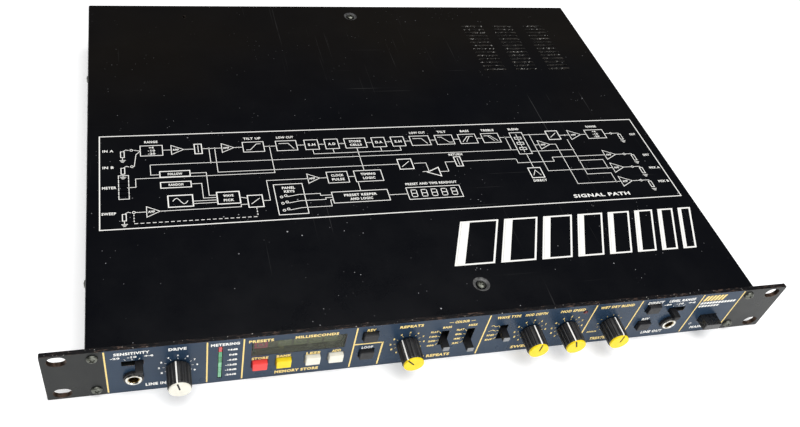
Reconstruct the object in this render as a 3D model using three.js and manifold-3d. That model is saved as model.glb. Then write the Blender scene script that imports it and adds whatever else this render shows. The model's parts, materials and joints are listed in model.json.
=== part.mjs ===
// A one-unit, 19-inch rack effects unit (a digital delay), in millimetres.
// Row frame: +X to the right of someone facing the panel, +Y to the rear, +Z up. The origin is
// under the middle of the whole unit, on the surface that it rests on.
import * as THREE from "three";
import { mergeVertices } from "three/addons/utils/BufferGeometryUtils.js";
import Module from "manifold-3d";

const wasm = await Module();
wasm.setup();

// ---------------------------------------------------------------- driving dimensions

const GAP = 0.3; // left between pieces that touch
const SHEET = 1.2; // steel sheet of the case

// Front panel, to the 19-inch rack standard.
const PANEL = { width: 482.6, height: 43.7, thickness: 3 };
// The ears are milled a little thinner than the middle, so their backs bear on the rack.
const EAR = { from: 217.8, relief: 0.2 };
const RACK_SLOT = { spacingX: 465.1, spacingZ: 31.75, width: 10.6, height: 8.4 };
const EAR_SCREW = { x: 213.8, zLow: 6, zHigh: 37.8 };

// Case behind the panel.
const CASE = { width: 435, top: 42.7, front: PANEL.thickness + GAP, rear: 346 };
const COVER_SCREWS = { front: [24.9, 24.9], rear: [4.3, 330.6] };
const VENT = { columns: [114.6, 144, 174.7], length: 19.6, width: 1.8, rows: 14, firstY: 250, pitch: 4.95 };

// Heights on the panel.
const KNOB_Z = PANEL.height / 2;
const UPPER_KEY_Z = 34;
const LOWER_KEY_Z = 15.8;
const JACK_Z = 16;
const CROSS_SWITCH_Z = 29.75;

// Controls, by their place across the panel.
const KNOBS = { gain: -167.3, repeats: -27.6, depth: 55.9, speed: 82.2, mix: 113.4 };
const KEYS = {
  store_button: [-119.6, LOWER_KEY_Z],
  preset_button: [-105.1, LOWER_KEY_Z],
  down_button: [-87.2, LOWER_KEY_Z],
  up_button: [-72.8, LOWER_KEY_Z],
  phase_button: [-53.3, UPPER_KEY_Z],
  freeze_button: [-53.3, LOWER_KEY_Z],
  direct_button: [141.1, UPPER_KEY_Z],
  output_phase_button: [141.1, LOWER_KEY_Z],
};
const KEY = { width: 9.3, height: 7.6, proud: 2.8, travel: 1 };
const POWER_KEY = { x: 191.5, z: 16.2, width: 12.5, height: 6.4, proud: 8.5, travel: 3 };
const LEVER = { width: 4.6, height: 3.6, proud: 7.7 };
const CROSS_SLOT = { width: 12.2, height: 4.4, throw: 3.6 };
const UPRIGHT_SLOT = { width: 5, height: 14.8, centreZ: 23.5, step: 3.6 };
// Each lever: its slot's centre, which way it slides, and how far from that centre it stands.
const LEVERS = {
  input_pad_lever: { x: -192.6, z: CROSS_SWITCH_Z, across: true, offset: CROSS_SLOT.throw },
  output_pad_lever: { x: 161, z: CROSS_SWITCH_Z, across: true, offset: -CROSS_SLOT.throw },
  low_tone_lever: { x: -4.1, z: UPRIGHT_SLOT.centreZ, across: false, offset: -UPRIGHT_SLOT.step / 2 },
  high_tone_lever: { x: 13, z: UPRIGHT_SLOT.centreZ, across: false, offset: -1.5 * UPRIGHT_SLOT.step },
  wave_shape_lever: { x: 35.7, z: UPRIGHT_SLOT.centreZ, across: false, offset: UPRIGHT_SLOT.step / 2 },
};
const JACKS = { input: -192.6, output: 160.5 };
const WINDOW = { x: -96.6, z: 31.3, width: 56.6, height: 13.6 };
const METER = { x: -143.2, z: 21, width: 2.6, height: 32.6 };
const RATE_LIGHT = { x: 90.5, z: 36.5, radius: 1.5 };

const KNOB = { radius: 7.1, length: 14.9, flutes: 20, fluteDepth: 0.45, bore: 3.1 };
const CAP = { radius: 6.4, thickness: 1 };
const POT = { radius: 8, depth: 10.4, bush: 3.5, bushProud: 2.6, shaft: 3 };
const JACK = { bore: 3.3, boreDepth: 28, bush: 4.7, bodyWidth: 14, bodyHeight: 12, bodyDepth: 24 };
const NUT = { outer: 5.85, inner: 4.95, thickness: 1.9 };

// The board that stands behind the panel carries the switches and the display.
const BOARD = { front: 14.4, thickness: 1.6, halfWidth: 204, low: 3.5, high: 40 };
const SWITCH_FRONT = 5.2; // front of a slide switch's body, behind the panel's face

// Rear: pieces along the rear panel, by their place across the unit.
const REAR_JACKS_X = [-190, -160, -130, -100, -62, -32];
const REAR_JACK_Z = 21;
const INLET = { x: 178, z: 21, width: 27.4, height: 20, depth: 20 };
const FUSE = { x: 142, z: 21, radius: 7.5, body: 6 };

// How far the unit reaches before and behind the panel's face.
const REAR_FACE = CASE.rear - 1;
const FUSE_CAP = GAP + 6;
const FRONT_REACH = KNOB.length + GAP + CAP.thickness;
const REAR_REACH = REAR_FACE + FUSE_CAP;

// ---------------------------------------------------------------- materials

function paint(name, color, roughness, metalness) {
  return new THREE.MeshStandardMaterial({ name, color, roughness, metalness });
}
const CASE_BLACK = paint("case_black", 0x16181a, 0.55, 0.2);
const PANEL_BLUE = paint("panel_blue", 0x33456b, 0.5, 0.3);
const SCREW_STEEL = paint("screw_steel", 0x6b6e68, 0.4, 0.8);
const BLACK_PLASTIC = paint("black_plastic", 0x1b1b1d, 0.5, 0);
const GREY_PLASTIC = paint("grey_plastic", 0x3a3c40, 0.5, 0);
const WHITE_PLASTIC = paint("white_plastic", 0xe8e6dc, 0.45, 0);
const YELLOW_PLASTIC = paint("yellow_plastic", 0xe6c822, 0.45, 0);
const RED_PLASTIC = paint("red_plastic", 0xd83a40, 0.45, 0);
const SMOKED = paint("smoked_window", 0x3c4034, 0.2, 0);
const BOARD_GREEN = paint("board_green", 0x2d5a3a, 0.6, 0);
const CHROME = paint("chrome", 0xc8c8c8, 0.2, 1);
const BARE_METAL = paint("bare_metal", 0x9a9a96, 0.4, 0.9);

// ---------------------------------------------------------------- solids

// A closed three.js geometry as a solid that can be cut and joined.
function solid(geometry) {
  const bare = geometry.clone();
  bare.deleteAttribute("normal");
  bare.deleteAttribute("uv");
  const merged = mergeVertices(bare, 1e-4);
  return new wasm.Manifold(
    new wasm.Mesh({
      numProp: 3,
      vertProperties: new Float32Array(merged.attributes.position.array),
      triVerts: new Uint32Array(merged.index.array),
    }),
  );
}

function geometryOf(manifold) {
  const mesh = manifold.getMesh();
  const geometry = new THREE.BufferGeometry();
  geometry.setAttribute("position", new THREE.BufferAttribute(mesh.vertProperties, 3));
  geometry.setIndex(new THREE.BufferAttribute(mesh.triVerts, 1));
  const flat = geometry.toNonIndexed();
  flat.computeVertexNormals();
  return flat;
}

// A box between two corners.
function block(low, high) {
  const size = high.map((value, i) => value - low[i]);
  const middle = high.map((value, i) => (value + low[i]) / 2);
  return solid(new THREE.BoxGeometry(...size).translate(...middle));
}

// A box centred on (x, y), from z0 to z1.
function slab(x, y, width, height, z0, z1) {
  return block([x - width / 2, y - height / 2, z0], [x + width / 2, y + height / 2, z1]);
}

// A round bar about the z axis through (x, y), from z0 to z1.
function rod(x, y, radius, z0, z1, sides = 20) {
  const bar = new THREE.CylinderGeometry(radius, radius, z1 - z0, sides);
  return solid(bar.rotateX(Math.PI / 2).translate(x, y, (z0 + z1) / 2));
}

// A turned shape about the z axis: profile points are [radius, z], from the axis back to it.
function turned(profile, sides) {
  const points = profile.map(([radius, z]) => new THREE.Vector2(radius, z));
  return solid(new THREE.LatheGeometry(points, sides).rotateX(Math.PI / 2));
}

// An upright oval slot or plate with round ends, lying across, from z0 to z1.
function oval(x, y, width, height, z0, z1) {
  const radius = height / 2;
  const reach = width / 2 - radius;
  const outline = new THREE.Shape();
  outline.absarc(x + reach, y, radius, -Math.PI / 2, Math.PI / 2);
  outline.absarc(x - reach, y, radius, Math.PI / 2, 1.5 * Math.PI);
  const plate = new THREE.ExtrudeGeometry(outline, { depth: z1 - z0, bevelEnabled: false, curveSegments: 6 });
  return solid(plate.translate(0, 0, z0));
}

// A plate with rounded corners, from z0 to z1.
function roundedSlab(x, y, width, height, corner, z0, z1) {
  const outline = new THREE.Shape();
  for (const [sx, sy, start] of [[1, -1, -0.5], [1, 1, 0], [-1, 1, 0.5], [-1, -1, 1]]) {
    const cx = x + sx * (width / 2 - corner);
    const cy = y + sy * (height / 2 - corner);
    outline.absarc(cx, cy, corner, start * Math.PI, (start + 0.5) * Math.PI);
  }
  const plate = new THREE.ExtrudeGeometry(outline, { depth: z1 - z0, bevelEnabled: false, curveSegments: 3 });
  return solid(plate.translate(0, 0, z0));
}

function joined(pieces) {
  return pieces.reduce((sum, piece) => sum.add(piece));
}

function cutAway(body, tools) {
  return tools.reduce((left, tool) => left.subtract(tool), body);
}

function part(group, name, shape, material, position = [0, 0, 0]) {
  const mesh = new THREE.Mesh(geometryOf(shape), material);
  mesh.name = name;
  mesh.position.set(...position);
  group.add(mesh);
  return mesh;
}

// ---------------------------------------------------------------- groups

const unit = new THREE.Group();
unit.name = "rack_effects_unit";
unit.position.y = (FRONT_REACH - REAR_REACH) / 2;

// Panel frame: x across, y up, z out of the panel's front face towards the player.
const facia = new THREE.Group();
facia.rotation.x = Math.PI / 2;
unit.add(facia);

// Rear frame: x across as on the panel but seen from behind, y up, z out of the rear panel.
const rearTurn = new THREE.Group();
rearTurn.rotation.z = Math.PI;
rearTurn.position.y = REAR_FACE;
const rear = new THREE.Group();
rear.rotation.x = Math.PI / 2;
rearTurn.add(rear);
unit.add(rearTurn);

// ---------------------------------------------------------------- front panel

// A hole that a bush fills is an octagon round it.
function bushHole(x, y, radius, z0, z1) {
  return rod(x, y, (radius + GAP) / Math.cos(Math.PI / 8), z0, z1, 8);
}

function panelOpenings() {
  const back = -PANEL.thickness - 1;
  const cuts = [];
  for (const sx of [-1, 1]) {
    for (const sz of [-1, 1]) {
      const y = PANEL.height / 2 + (sz * RACK_SLOT.spacingZ) / 2;
      cuts.push(oval((sx * RACK_SLOT.spacingX) / 2, y, RACK_SLOT.width, RACK_SLOT.height, back, 1));
    }
    for (const y of [EAR_SCREW.zLow, EAR_SCREW.zHigh]) {
      cuts.push(rod(sx * EAR_SCREW.x, y, 1.8, back, 1, 12));
    }
    const end = PANEL.width / 2 + 1;
    const x = (sx * (EAR.from + end)) / 2;
    const tall = PANEL.height + 2;
    cuts.push(slab(x, PANEL.height / 2, end - EAR.from, tall, back, EAR.relief - PANEL.thickness));
  }
  for (const x of Object.values(KNOBS)) cuts.push(bushHole(x, KNOB_Z, POT.bush, back, 1));
  for (const x of Object.values(JACKS)) cuts.push(bushHole(x, JACK_Z, JACK.bush, back, 1));
  for (const [x, z] of Object.values(KEYS)) {
    cuts.push(slab(x, z, KEY.width + 2 * GAP, KEY.height + 2 * GAP, back, 1));
  }
  for (const { x, z, across } of Object.values(LEVERS)) {
    const slot = across ? CROSS_SLOT : UPRIGHT_SLOT;
    cuts.push(slab(x, z, slot.width, slot.height, back, 1));
  }
  cuts.push(slab(POWER_KEY.x, POWER_KEY.z, POWER_KEY.width + 2 * GAP, POWER_KEY.height + 2 * GAP, back, 1));
  cuts.push(slab(WINDOW.x, WINDOW.z, WINDOW.width, WINDOW.height, back, 1));
  cuts.push(slab(METER.x, METER.z, METER.width, METER.height, back, 1));
  cuts.push(bushHole(RATE_LIGHT.x, RATE_LIGHT.z, RATE_LIGHT.radius, back, 1));
  return cuts;
}

const panelPlate = roundedSlab(0, PANEL.height / 2, PANEL.width, PANEL.height, 0.8, -PANEL.thickness, 0);
part(facia, "front_panel", cutAway(panelPlate, panelOpenings()), PANEL_BLUE);

// ---------------------------------------------------------------- screws

// A domed cross-head screw whose head rests just off z = 0 and whose shank points down z.
function crossHeadScrew(headRadius, headHeight, shankLength) {
  const shank = 1.5;
  const dome = [];
  const steps = 3;
  for (let i = 0; i <= steps; i += 1) {
    const angle = (i / steps) * (Math.PI / 2);
    const z = GAP + 0.4 + (headHeight - 0.4) * Math.sin(angle);
    dome.push([i === steps ? 0 : headRadius * Math.cos(angle), z]);
  }
  const profile = [[0, -shankLength], [shank, -shankLength], [shank, GAP], [headRadius, GAP], ...dome];
  const recess = [
    slab(0, 0, 2.9, 0.75, headHeight - 0.7, headHeight + 2),
    slab(0, 0, 0.75, 2.9, headHeight - 0.7, headHeight + 2),
  ];
  return cutAway(turned(profile, 16), recess);
}

const earScrewReach = PANEL.thickness + GAP + SHEET + 0.6;
for (const [side, sx] of [["left", -1], ["right", 1]]) {
  for (const [end, y] of [["lower", EAR_SCREW.zLow], ["upper", EAR_SCREW.zHigh]]) {
    const screw = crossHeadScrew(3.2, 2, earScrewReach);
    part(facia, `${side}_${end}_ear_screw`, screw, SCREW_STEEL, [sx * EAR_SCREW.x, y, 0]);
  }
}
for (const [place, [x, y]] of Object.entries(COVER_SCREWS)) {
  part(unit, `${place}_cover_screw`, crossHeadScrew(3, 1.5, 5), SCREW_STEEL, [x, y, CASE.top]);
}

// ---------------------------------------------------------------- case

// The cover is a folded sheet: the top and both full-height sides, with bent outer corners.
function coverBend() {
  const half = CASE.width / 2;
  const bend = 1.6;
  const low = SHEET + GAP;
  const inner = half - SHEET;
  const outline = new THREE.Shape();
  outline.moveTo(-half, low);
  outline.lineTo(-inner, low);
  outline.lineTo(-inner, CASE.top - SHEET);
  outline.lineTo(inner, CASE.top - SHEET);
  outline.lineTo(inner, low);
  outline.lineTo(half, low);
  outline.absarc(half - bend, CASE.top - bend, bend, 0, Math.PI / 2);
  outline.absarc(bend - half, CASE.top - bend, bend, Math.PI / 2, Math.PI);
  const depth = CASE.rear - CASE.front;
  const folded = new THREE.ExtrudeGeometry(outline, { depth, bevelEnabled: false, curveSegments: 4 });
  return solid(folded.rotateX(Math.PI / 2).translate(0, CASE.rear, 0));
}

function ventSlots() {
  const slots = [];
  for (const x of VENT.columns) {
    for (let row = 0; row < VENT.rows; row += 1) {
      const y = VENT.firstY + row * VENT.pitch;
      slots.push(slab(x, y, VENT.length, VENT.width, CASE.top - 3, CASE.top + 1));
    }
  }
  return slots;
}

const coverScrewHoles = Object.values(COVER_SCREWS).map(([x, y]) => rod(x, y, 1.9, 30, 50, 12));
part(unit, "top_cover", cutAway(coverBend(), [...ventSlots(), ...coverScrewHoles]), CASE_BLACK);

// The tray is the floor, a low flange along each side and a tab at each end for the ear screws.
const TRAY = { half: CASE.width / 2 - SHEET - GAP, rear: REAR_FACE, flange: 16 };
const BOARD_POSTS = [[-120, 60], [-120, 300], [40, 60], [40, 300]];
const MAIN_BOARD_Z = 6;

function chassisTray() {
  const { half, flange } = TRAY;
  const pieces = [block([-half, CASE.front, 0], [half, TRAY.rear, SHEET])];
  for (const sx of [-1, 1]) {
    const wall = [sx * half, sx * (half - SHEET)].sort((a, b) => a - b);
    pieces.push(block([wall[0], CASE.front + 4, 0], [wall[1], TRAY.rear - 4, flange]));
    const tab = [sx * half, sx * (half - 8)].sort((a, b) => a - b);
    pieces.push(block([tab[0], CASE.front, 0], [tab[1], CASE.front + SHEET, CASE.top - SHEET - 1]));
  }
  for (const [x, y] of BOARD_POSTS) pieces.push(rod(x, y, 3, 0.5, MAIN_BOARD_Z - GAP, 12));
  const holes = [];
  for (const sx of [-1, 1]) {
    for (const z of [EAR_SCREW.zLow, EAR_SCREW.zHigh]) {
      const hole = new THREE.CylinderGeometry(1.8, 1.8, 8, 12);
      holes.push(solid(hole.translate(sx * EAR_SCREW.x, CASE.front, z)));
    }
  }
  return cutAway(joined(pieces), holes);
}
part(unit, "chassis_tray", chassisTray(), CASE_BLACK);

// The rear panel stands on the tray's floor, with a foot folded inwards along it.
function rearPanel() {
  const { half } = TRAY;
  const low = SHEET + GAP;
  const inside = -SHEET;
  const pieces = [
    block([-half, low, inside], [half, CASE.top - SHEET - GAP, 0]),
    block([1.5 - half, low, inside - 12], [half - 1.5, low + SHEET, 0]),
  ];
  const holes = REAR_JACKS_X.map((x) => bushHole(-x, REAR_JACK_Z, JACK.bush, -5, 5));
  holes.push(slab(-INLET.x, INLET.z, INLET.width + 2 * GAP, INLET.height + 2 * GAP, -5, 5));
  holes.push(bushHole(-FUSE.x, FUSE.z, FUSE.body, -5, 5));
  return cutAway(joined(pieces), holes);
}
part(rear, "rear_panel", rearPanel(), CASE_BLACK);

// ---------------------------------------------------------------- jacks

// A 1/4-inch jack whose panel faces z = 0: its body is behind the panel and its bush stands out.
function jack(panelThickness, proud, withNut) {
  const back = -panelThickness - GAP;
  const pieces = [
    slab(0, 0, JACK.bodyWidth, JACK.bodyHeight, back - JACK.bodyDepth, back),
    rod(0, 0, JACK.bush, back - 1, proud, 24),
  ];
  if (withNut) pieces.push(rod(0, 0, 7, GAP, GAP + 2.4, 6));
  return joined(pieces).subtract(rod(0, 0, JACK.bore, proud - JACK.boreDepth, proud + 1, 16));
}

for (const [name, x] of Object.entries(JACKS)) {
  part(facia, `${name}_jack`, jack(PANEL.thickness, 2.9, false), CHROME, [x, JACK_Z, 0]);
  const ring = rod(0, 0, NUT.outer, GAP, GAP + NUT.thickness, 24);
  const nut = ring.subtract(rod(0, 0, NUT.inner, -1, 5, 24));
  part(facia, `${name}_jack_nut`, nut, BLACK_PLASTIC, [x, JACK_Z, 0]);
}
REAR_JACKS_X.forEach((x, i) => {
  part(rear, `rear_jack_${i + 1}`, jack(SHEET, 6, true), CHROME, [-x, REAR_JACK_Z, 0]);
});

// ---------------------------------------------------------------- mains pieces

// Inlet: a flange outside the panel, a box behind it, an open socket and its three blades.
function mainsInlet() {
  const { width, height, depth } = INLET;
  const pieces = [
    roundedSlab(0, 0, width + 13, height + 4, 3, GAP, GAP + 2.2),
    slab(0, 0, width, height, -depth, GAP + 1),
  ];
  const socket = roundedSlab(0, 0, width - 4, height - 4, 3, 3 - depth, 5);
  const shell = joined(pieces).subtract(socket);
  const bladeFoot = 2 - depth;
  const blades = [[-7, -2], [0, 2], [7, -2]].map(([x, y]) => slab(x, y, 2, 4, bladeFoot, -4));
  return joined([shell, ...blades]);
}
part(rear, "mains_inlet", mainsInlet(), BLACK_PLASTIC, [-INLET.x, INLET.z, 0]);

function fuseHolder() {
  const pieces = [
    rod(0, 0, FUSE.body, -30, GAP + 1, 20),
    rod(0, 0, FUSE.radius, GAP, GAP + 2, 20),
    rod(0, 0, 5.6, GAP + 1, FUSE_CAP, 12),
  ];
  return joined(pieces).subtract(slab(0, 0, 8, 1.2, FUSE_CAP - 1, FUSE_CAP + 1));
}
part(rear, "fuse_holder", fuseHolder(), BLACK_PLASTIC, [-FUSE.x, FUSE.z, 0]);

function transformer() {
  const core = block([-24, -29, 0], [24, 29, 34]);
  const window = block([-30, -20, 9], [30, 20, 25]);
  const winding = block([-34, -19, 9.5], [34, 19, 24.5]);
  const feet = block([-24, -38, 0], [24, 38, 1.6]);
  return joined([core.subtract(window), winding, feet, block([-23, -21, 10], [23, 21, 24])]);
}
part(unit, "mains_transformer", transformer(), BARE_METAL, [160, 280, SHEET + GAP]);

// ---------------------------------------------------------------- boards

function switchBody(x, z, slot, across, travel) {
  const width = across ? slot.width + 6 : 8.4;
  const height = across ? 8 : slot.height + 6;
  const body = slab(x, z, width, height, -BOARD.front - 0.5, -SWITCH_FRONT);
  const channel = across ? [travel + 2.8, 2.8] : [2.8, travel + 2.8];
  return body.subtract(slab(x, z, ...channel, 1 - BOARD.front, 1));
}

// The control board: the sheet, and the bodies of the slide and push switches soldered to it.
function controlBoard() {
  const { front, thickness, halfWidth, low, high } = BOARD;
  const sheet = block([-halfWidth, low, -front - thickness], [halfWidth, high, -front]);
  const room = 1.2;
  const jackRoom = Object.values(JACKS).map((x) =>
    slab(x, JACK_Z, JACK.bodyWidth + 2 * room, JACK.bodyHeight + 2 * room, -front - 5, -front + 5),
  );
  const powerRoom = block([POWER_KEY.x - 11, 0, -front - 5], [halfWidth + 5, 30, -front + 5]);
  const pieces = [cutAway(sheet, [...jackRoom, powerRoom])];
  for (const { x, z, across } of Object.values(LEVERS)) {
    const travel = across ? 2 * CROSS_SLOT.throw : 3 * UPRIGHT_SLOT.step;
    pieces.push(switchBody(x, z, across ? CROSS_SLOT : UPRIGHT_SLOT, across, travel));
  }
  for (const [x, z] of Object.values(KEYS)) pieces.push(slab(x, z, 8, 6.4, -front - 0.5, -11.2));
  return joined(pieces);
}
part(facia, "control_board", controlBoard(), BOARD_GREEN);

// The main board lies on the tray's posts, with its chips, memory and capacitors.
function mainBoard() {
  const pieces = [block([-135, 45, MAIN_BOARD_Z], [60, 315, MAIN_BOARD_Z + 1.6])];
  const top = MAIN_BOARD_Z + 1;
  for (let column = 0; column < 4; column += 1) {
    for (let row = 0; row < 5; row += 1) {
      const x = -112 + column * 44;
      const y = 75 + row * 42;
      pieces.push(block([x - 9, y - 4, top], [x + 9, y + 4, MAIN_BOARD_Z + 5.6]));
    }
  }
  for (const [x, y] of [[10, 285], [-20, 285], [-50, 285]]) pieces.push(rod(x, y, 6, top, 30, 14));
  return joined(pieces);
}
part(unit, "main_board", mainBoard(), BOARD_GREEN);

// A finned regulator heat sink beside the transformer, under the cover's slots.
function heatSink() {
  const length = 64;
  const pieces = [block([0, 0, 0], [20, length, 3])];
  for (let fin = 0; fin < 4; fin += 1) pieces.push(block([fin * 6, 0, 0], [fin * 6 + 2, length, 28]));
  return joined(pieces);
}
part(unit, "heat_sink", heatSink(), BARE_METAL, [92, 248, SHEET + GAP]);

// ---------------------------------------------------------------- display and lights

function displayWindow() {
  const { width, height } = WINDOW;
  const back = -PANEL.thickness - GAP;
  const pane = slab(0, 0, width - 2 * GAP, height - 2 * GAP, back - 0.5, -0.3);
  return pane.add(slab(0, 0, width + 4, height + 2, back - 1.2, back));
}
part(facia, "display_window", displayWindow(), SMOKED, [WINDOW.x, WINDOW.z, 0]);

const displayBody = slab(0, 0, 54, 12.4, GAP - BOARD.front, -5);
part(facia, "display_module", displayBody, GREY_PLASTIC, [WINDOW.x, WINDOW.z, 0]);

const meterBody = slab(0, 0, 5.4, METER.height + 1.4, GAP - BOARD.front, -PANEL.thickness - GAP);
const meterLens = slab(0, 0, METER.width - 2 * GAP, METER.height - 2 * GAP, -5, -0.4);
part(facia, "level_meter", meterBody.add(meterLens), GREY_PLASTIC, [METER.x, METER.z, 0]);

const { radius: lightRadius } = RATE_LIGHT;
const lightProfile = [[0, GAP - BOARD.front], [lightRadius, GAP - BOARD.front], [lightRadius, 0.2]];
for (const share of [0.3, 0.6, 0.85]) {
  lightProfile.push([lightRadius * Math.sqrt(1 - share * share), 0.2 + 1.2 * share]);
}
lightProfile.push([0, 1.4]);
part(facia, "rate_light", turned(lightProfile, 16), RED_PLASTIC, [RATE_LIGHT.x, RATE_LIGHT.z, 0]);

// ---------------------------------------------------------------- knobs

function potentiometer() {
  const back = -PANEL.thickness - GAP;
  const profile = [
    [0, back - POT.depth],
    [POT.radius, back - POT.depth],
    [POT.radius, back],
    [POT.bush, back],
    [POT.bush, POT.bushProud],
    [POT.shaft, POT.bushProud],
    [POT.shaft, 12],
    [0, 12],
  ];
  return turned(profile, 20);
}

// The knob: shallow flutes round its side, a stepped bore at the back and a seat for the cap.
function knobBody() {
  const outline = new THREE.Shape();
  const points = KNOB.flutes * 2;
  for (let i = 0; i < points; i += 1) {
    const radius = KNOB.radius - (i % 2 ? KNOB.fluteDepth : 0);
    const angle = (i / points) * 2 * Math.PI;
    const place = [radius * Math.cos(angle), radius * Math.sin(angle)];
    if (i) outline.lineTo(...place);
    else outline.moveTo(...place);
  }
  const foot = 0.8;
  const side = new THREE.ExtrudeGeometry(outline, { depth: KNOB.length - foot, bevelEnabled: false });
  const cuts = [
    rod(0, 0, KNOB.bore, -1, 12.4, 20),
    rod(0, 0, 5.2, -1, POT.bushProud + 0.6, 20),
    rod(0, 0, 5.4, KNOB.length - 0.9, KNOB.length + 1, 20),
  ];
  return cutAway(solid(side.translate(0, 0, foot)), cuts);
}

function knobCap() {
  const face = KNOB.length + GAP;
  const profile = [
    [0, face - 0.9],
    [5.1, face - 0.9],
    [5.1, face],
    [CAP.radius, face],
    [CAP.radius, face + CAP.thickness - 0.3],
    [CAP.radius - 0.3, face + CAP.thickness],
    [0, face + CAP.thickness],
  ];
  return turned(profile, 24);
}

for (const [name, x] of Object.entries(KNOBS)) {
  const place = [x, KNOB_Z, 0];
  part(facia, `${name}_potentiometer`, potentiometer(), BARE_METAL, place);
  part(facia, `${name}_knob`, knobBody(), BLACK_PLASTIC, place);
  part(facia, `${name}_knob_cap`, knobCap(), name === "gain" ? WHITE_PLASTIC : YELLOW_PLASTIC, place);
}

// ---------------------------------------------------------------- slide levers

// A lever's stem passes through the panel's slot; its plate stays behind the panel, and its
// tongue runs in the switch body's channel.
function slideLever() {
  const plateFront = -PANEL.thickness - GAP;
  return joined([
    slab(0, 0, LEVER.width, LEVER.height, plateFront - 0.5, LEVER.proud),
    slab(0, 0, 5.6, 5.6, plateFront - 1.3, plateFront),
    slab(0, 0, 2.2, 2.2, -8.5, plateFront - 1),
  ]);
}

for (const [name, { x, z, across, offset }] of Object.entries(LEVERS)) {
  part(facia, name, slideLever(), BLACK_PLASTIC, across ? [x + offset, z, 0] : [x, z + offset, 0]);
}

// ---------------------------------------------------------------- push buttons

// A button's cap stands out of the panel; its skirt stops it from coming out, and its stem
// pushes the switch on the board.
function pushButton(width, height, proud, stemEnd) {
  const skirtFront = -PANEL.thickness - GAP;
  return joined([
    slab(0, 0, width, height, skirtFront - 0.5, proud),
    slab(0, 0, width + 2, height + 1.6, skirtFront - 1.2, skirtFront),
    slab(0, 0, 3, 3, stemEnd, skirtFront - 1),
  ]);
}

const KEY_COLOURS = { store_button: RED_PLASTIC, preset_button: YELLOW_PLASTIC };
KEY_COLOURS.down_button = WHITE_PLASTIC;
KEY_COLOURS.up_button = WHITE_PLASTIC;
for (const [name, [x, z]] of Object.entries(KEYS)) {
  const stemEnd = -11.2 + GAP + KEY.travel;
  const shape = pushButton(KEY.width, KEY.height, KEY.proud, stemEnd);
  part(facia, name, shape, KEY_COLOURS[name] ?? GREY_PLASTIC, [x, z, 0]);
}

const POWER_STEM_END = -13;
const powerShape = pushButton(POWER_KEY.width, POWER_KEY.height, POWER_KEY.proud, POWER_STEM_END);
part(facia, "power_button", powerShape, BLACK_PLASTIC, [POWER_KEY.x, POWER_KEY.z, 0]);

// The mains switch stands on the tray's floor behind the power button's stem.
const mainsSwitch = block([-9, 0, 0], [9, 26, 24]);
const switchFront = -POWER_STEM_END + POWER_KEY.travel + GAP;
part(unit, "mains_switch", mainsSwitch, BLACK_PLASTIC, [POWER_KEY.x, switchFront, SHEET + GAP]);

export default unit;
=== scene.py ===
"""The looks of a one-unit rack effects unit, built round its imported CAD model.

The frame's lengths are metres. Pieces are drawn in millimetres on one of six drawing planes
(panel, rear, lid, either side, or the unit's own axes) and then placed in the frame.
"""

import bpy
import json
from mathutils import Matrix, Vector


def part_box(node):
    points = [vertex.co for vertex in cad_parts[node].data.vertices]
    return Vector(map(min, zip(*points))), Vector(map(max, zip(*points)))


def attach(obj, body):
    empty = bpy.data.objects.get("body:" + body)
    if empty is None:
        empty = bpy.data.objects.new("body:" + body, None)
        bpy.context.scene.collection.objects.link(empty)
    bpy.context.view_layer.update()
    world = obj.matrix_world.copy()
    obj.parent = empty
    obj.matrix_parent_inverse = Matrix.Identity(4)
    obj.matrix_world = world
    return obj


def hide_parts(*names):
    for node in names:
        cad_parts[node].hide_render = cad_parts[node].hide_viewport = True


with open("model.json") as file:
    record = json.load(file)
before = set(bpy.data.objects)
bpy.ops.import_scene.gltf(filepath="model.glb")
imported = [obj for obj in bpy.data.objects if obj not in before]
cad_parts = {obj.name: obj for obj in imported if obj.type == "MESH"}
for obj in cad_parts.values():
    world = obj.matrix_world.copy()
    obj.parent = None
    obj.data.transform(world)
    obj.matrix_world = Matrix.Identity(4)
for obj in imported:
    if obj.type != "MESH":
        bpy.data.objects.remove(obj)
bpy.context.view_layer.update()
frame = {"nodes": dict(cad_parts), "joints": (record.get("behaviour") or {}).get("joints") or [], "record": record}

import json
import math

import bmesh
import bpy
from mathutils import Matrix, Vector

MM = 0.001
CHASSIS = "chassis"
scene = bpy.context.scene

# ---- places, from the frame

panel_low, panel_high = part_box("front_panel")
cover_low, cover_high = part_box("top_cover")
rear_low, rear_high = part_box("rear_panel")
FRONT_Y = panel_low[1]
REAR_Y = rear_high[1]
LID_Z = cover_high[2]
PANEL_HALF = panel_high[0] / MM
PANEL_HEIGHT = panel_high[2] / MM
PANEL_THICKNESS = (panel_high[1] - panel_low[1]) / MM
CASE_HALF = cover_high[0] / MM
CASE_FRONT = (cover_low[1] - FRONT_Y) / MM
CASE_DEPTH = (cover_high[1] - cover_low[1]) / MM
SHEET = 1.2


def drawing_plane(across, up, out, origin):
    """A matrix from millimetres on a plane (across, up, out of it) to the frame."""
    turn = Matrix((across, up, out)).transposed().to_4x4()
    return Matrix.Translation(origin) @ turn @ Matrix.Scale(MM, 4)


ON_PANEL = drawing_plane((1, 0, 0), (0, 0, 1), (0, -1, 0), (0, FRONT_Y, 0))
ON_REAR = drawing_plane((-1, 0, 0), (0, 0, 1), (0, 1, 0), (0, REAR_Y, 0))
ON_LID = drawing_plane((1, 0, 0), (0, 1, 0), (0, 0, 1), (0, FRONT_Y, LID_Z))
IN_UNIT = drawing_plane((1, 0, 0), (0, 1, 0), (0, 0, 1), (0, FRONT_Y, 0))
LEFT_SIDE = drawing_plane((0, -1, 0), (0, 0, 1), (-1, 0, 0), (-CASE_HALF * MM, FRONT_Y, 0))
RIGHT_SIDE = drawing_plane((0, 1, 0), (0, 0, 1), (1, 0, 0), (CASE_HALF * MM, FRONT_Y, 0))


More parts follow.
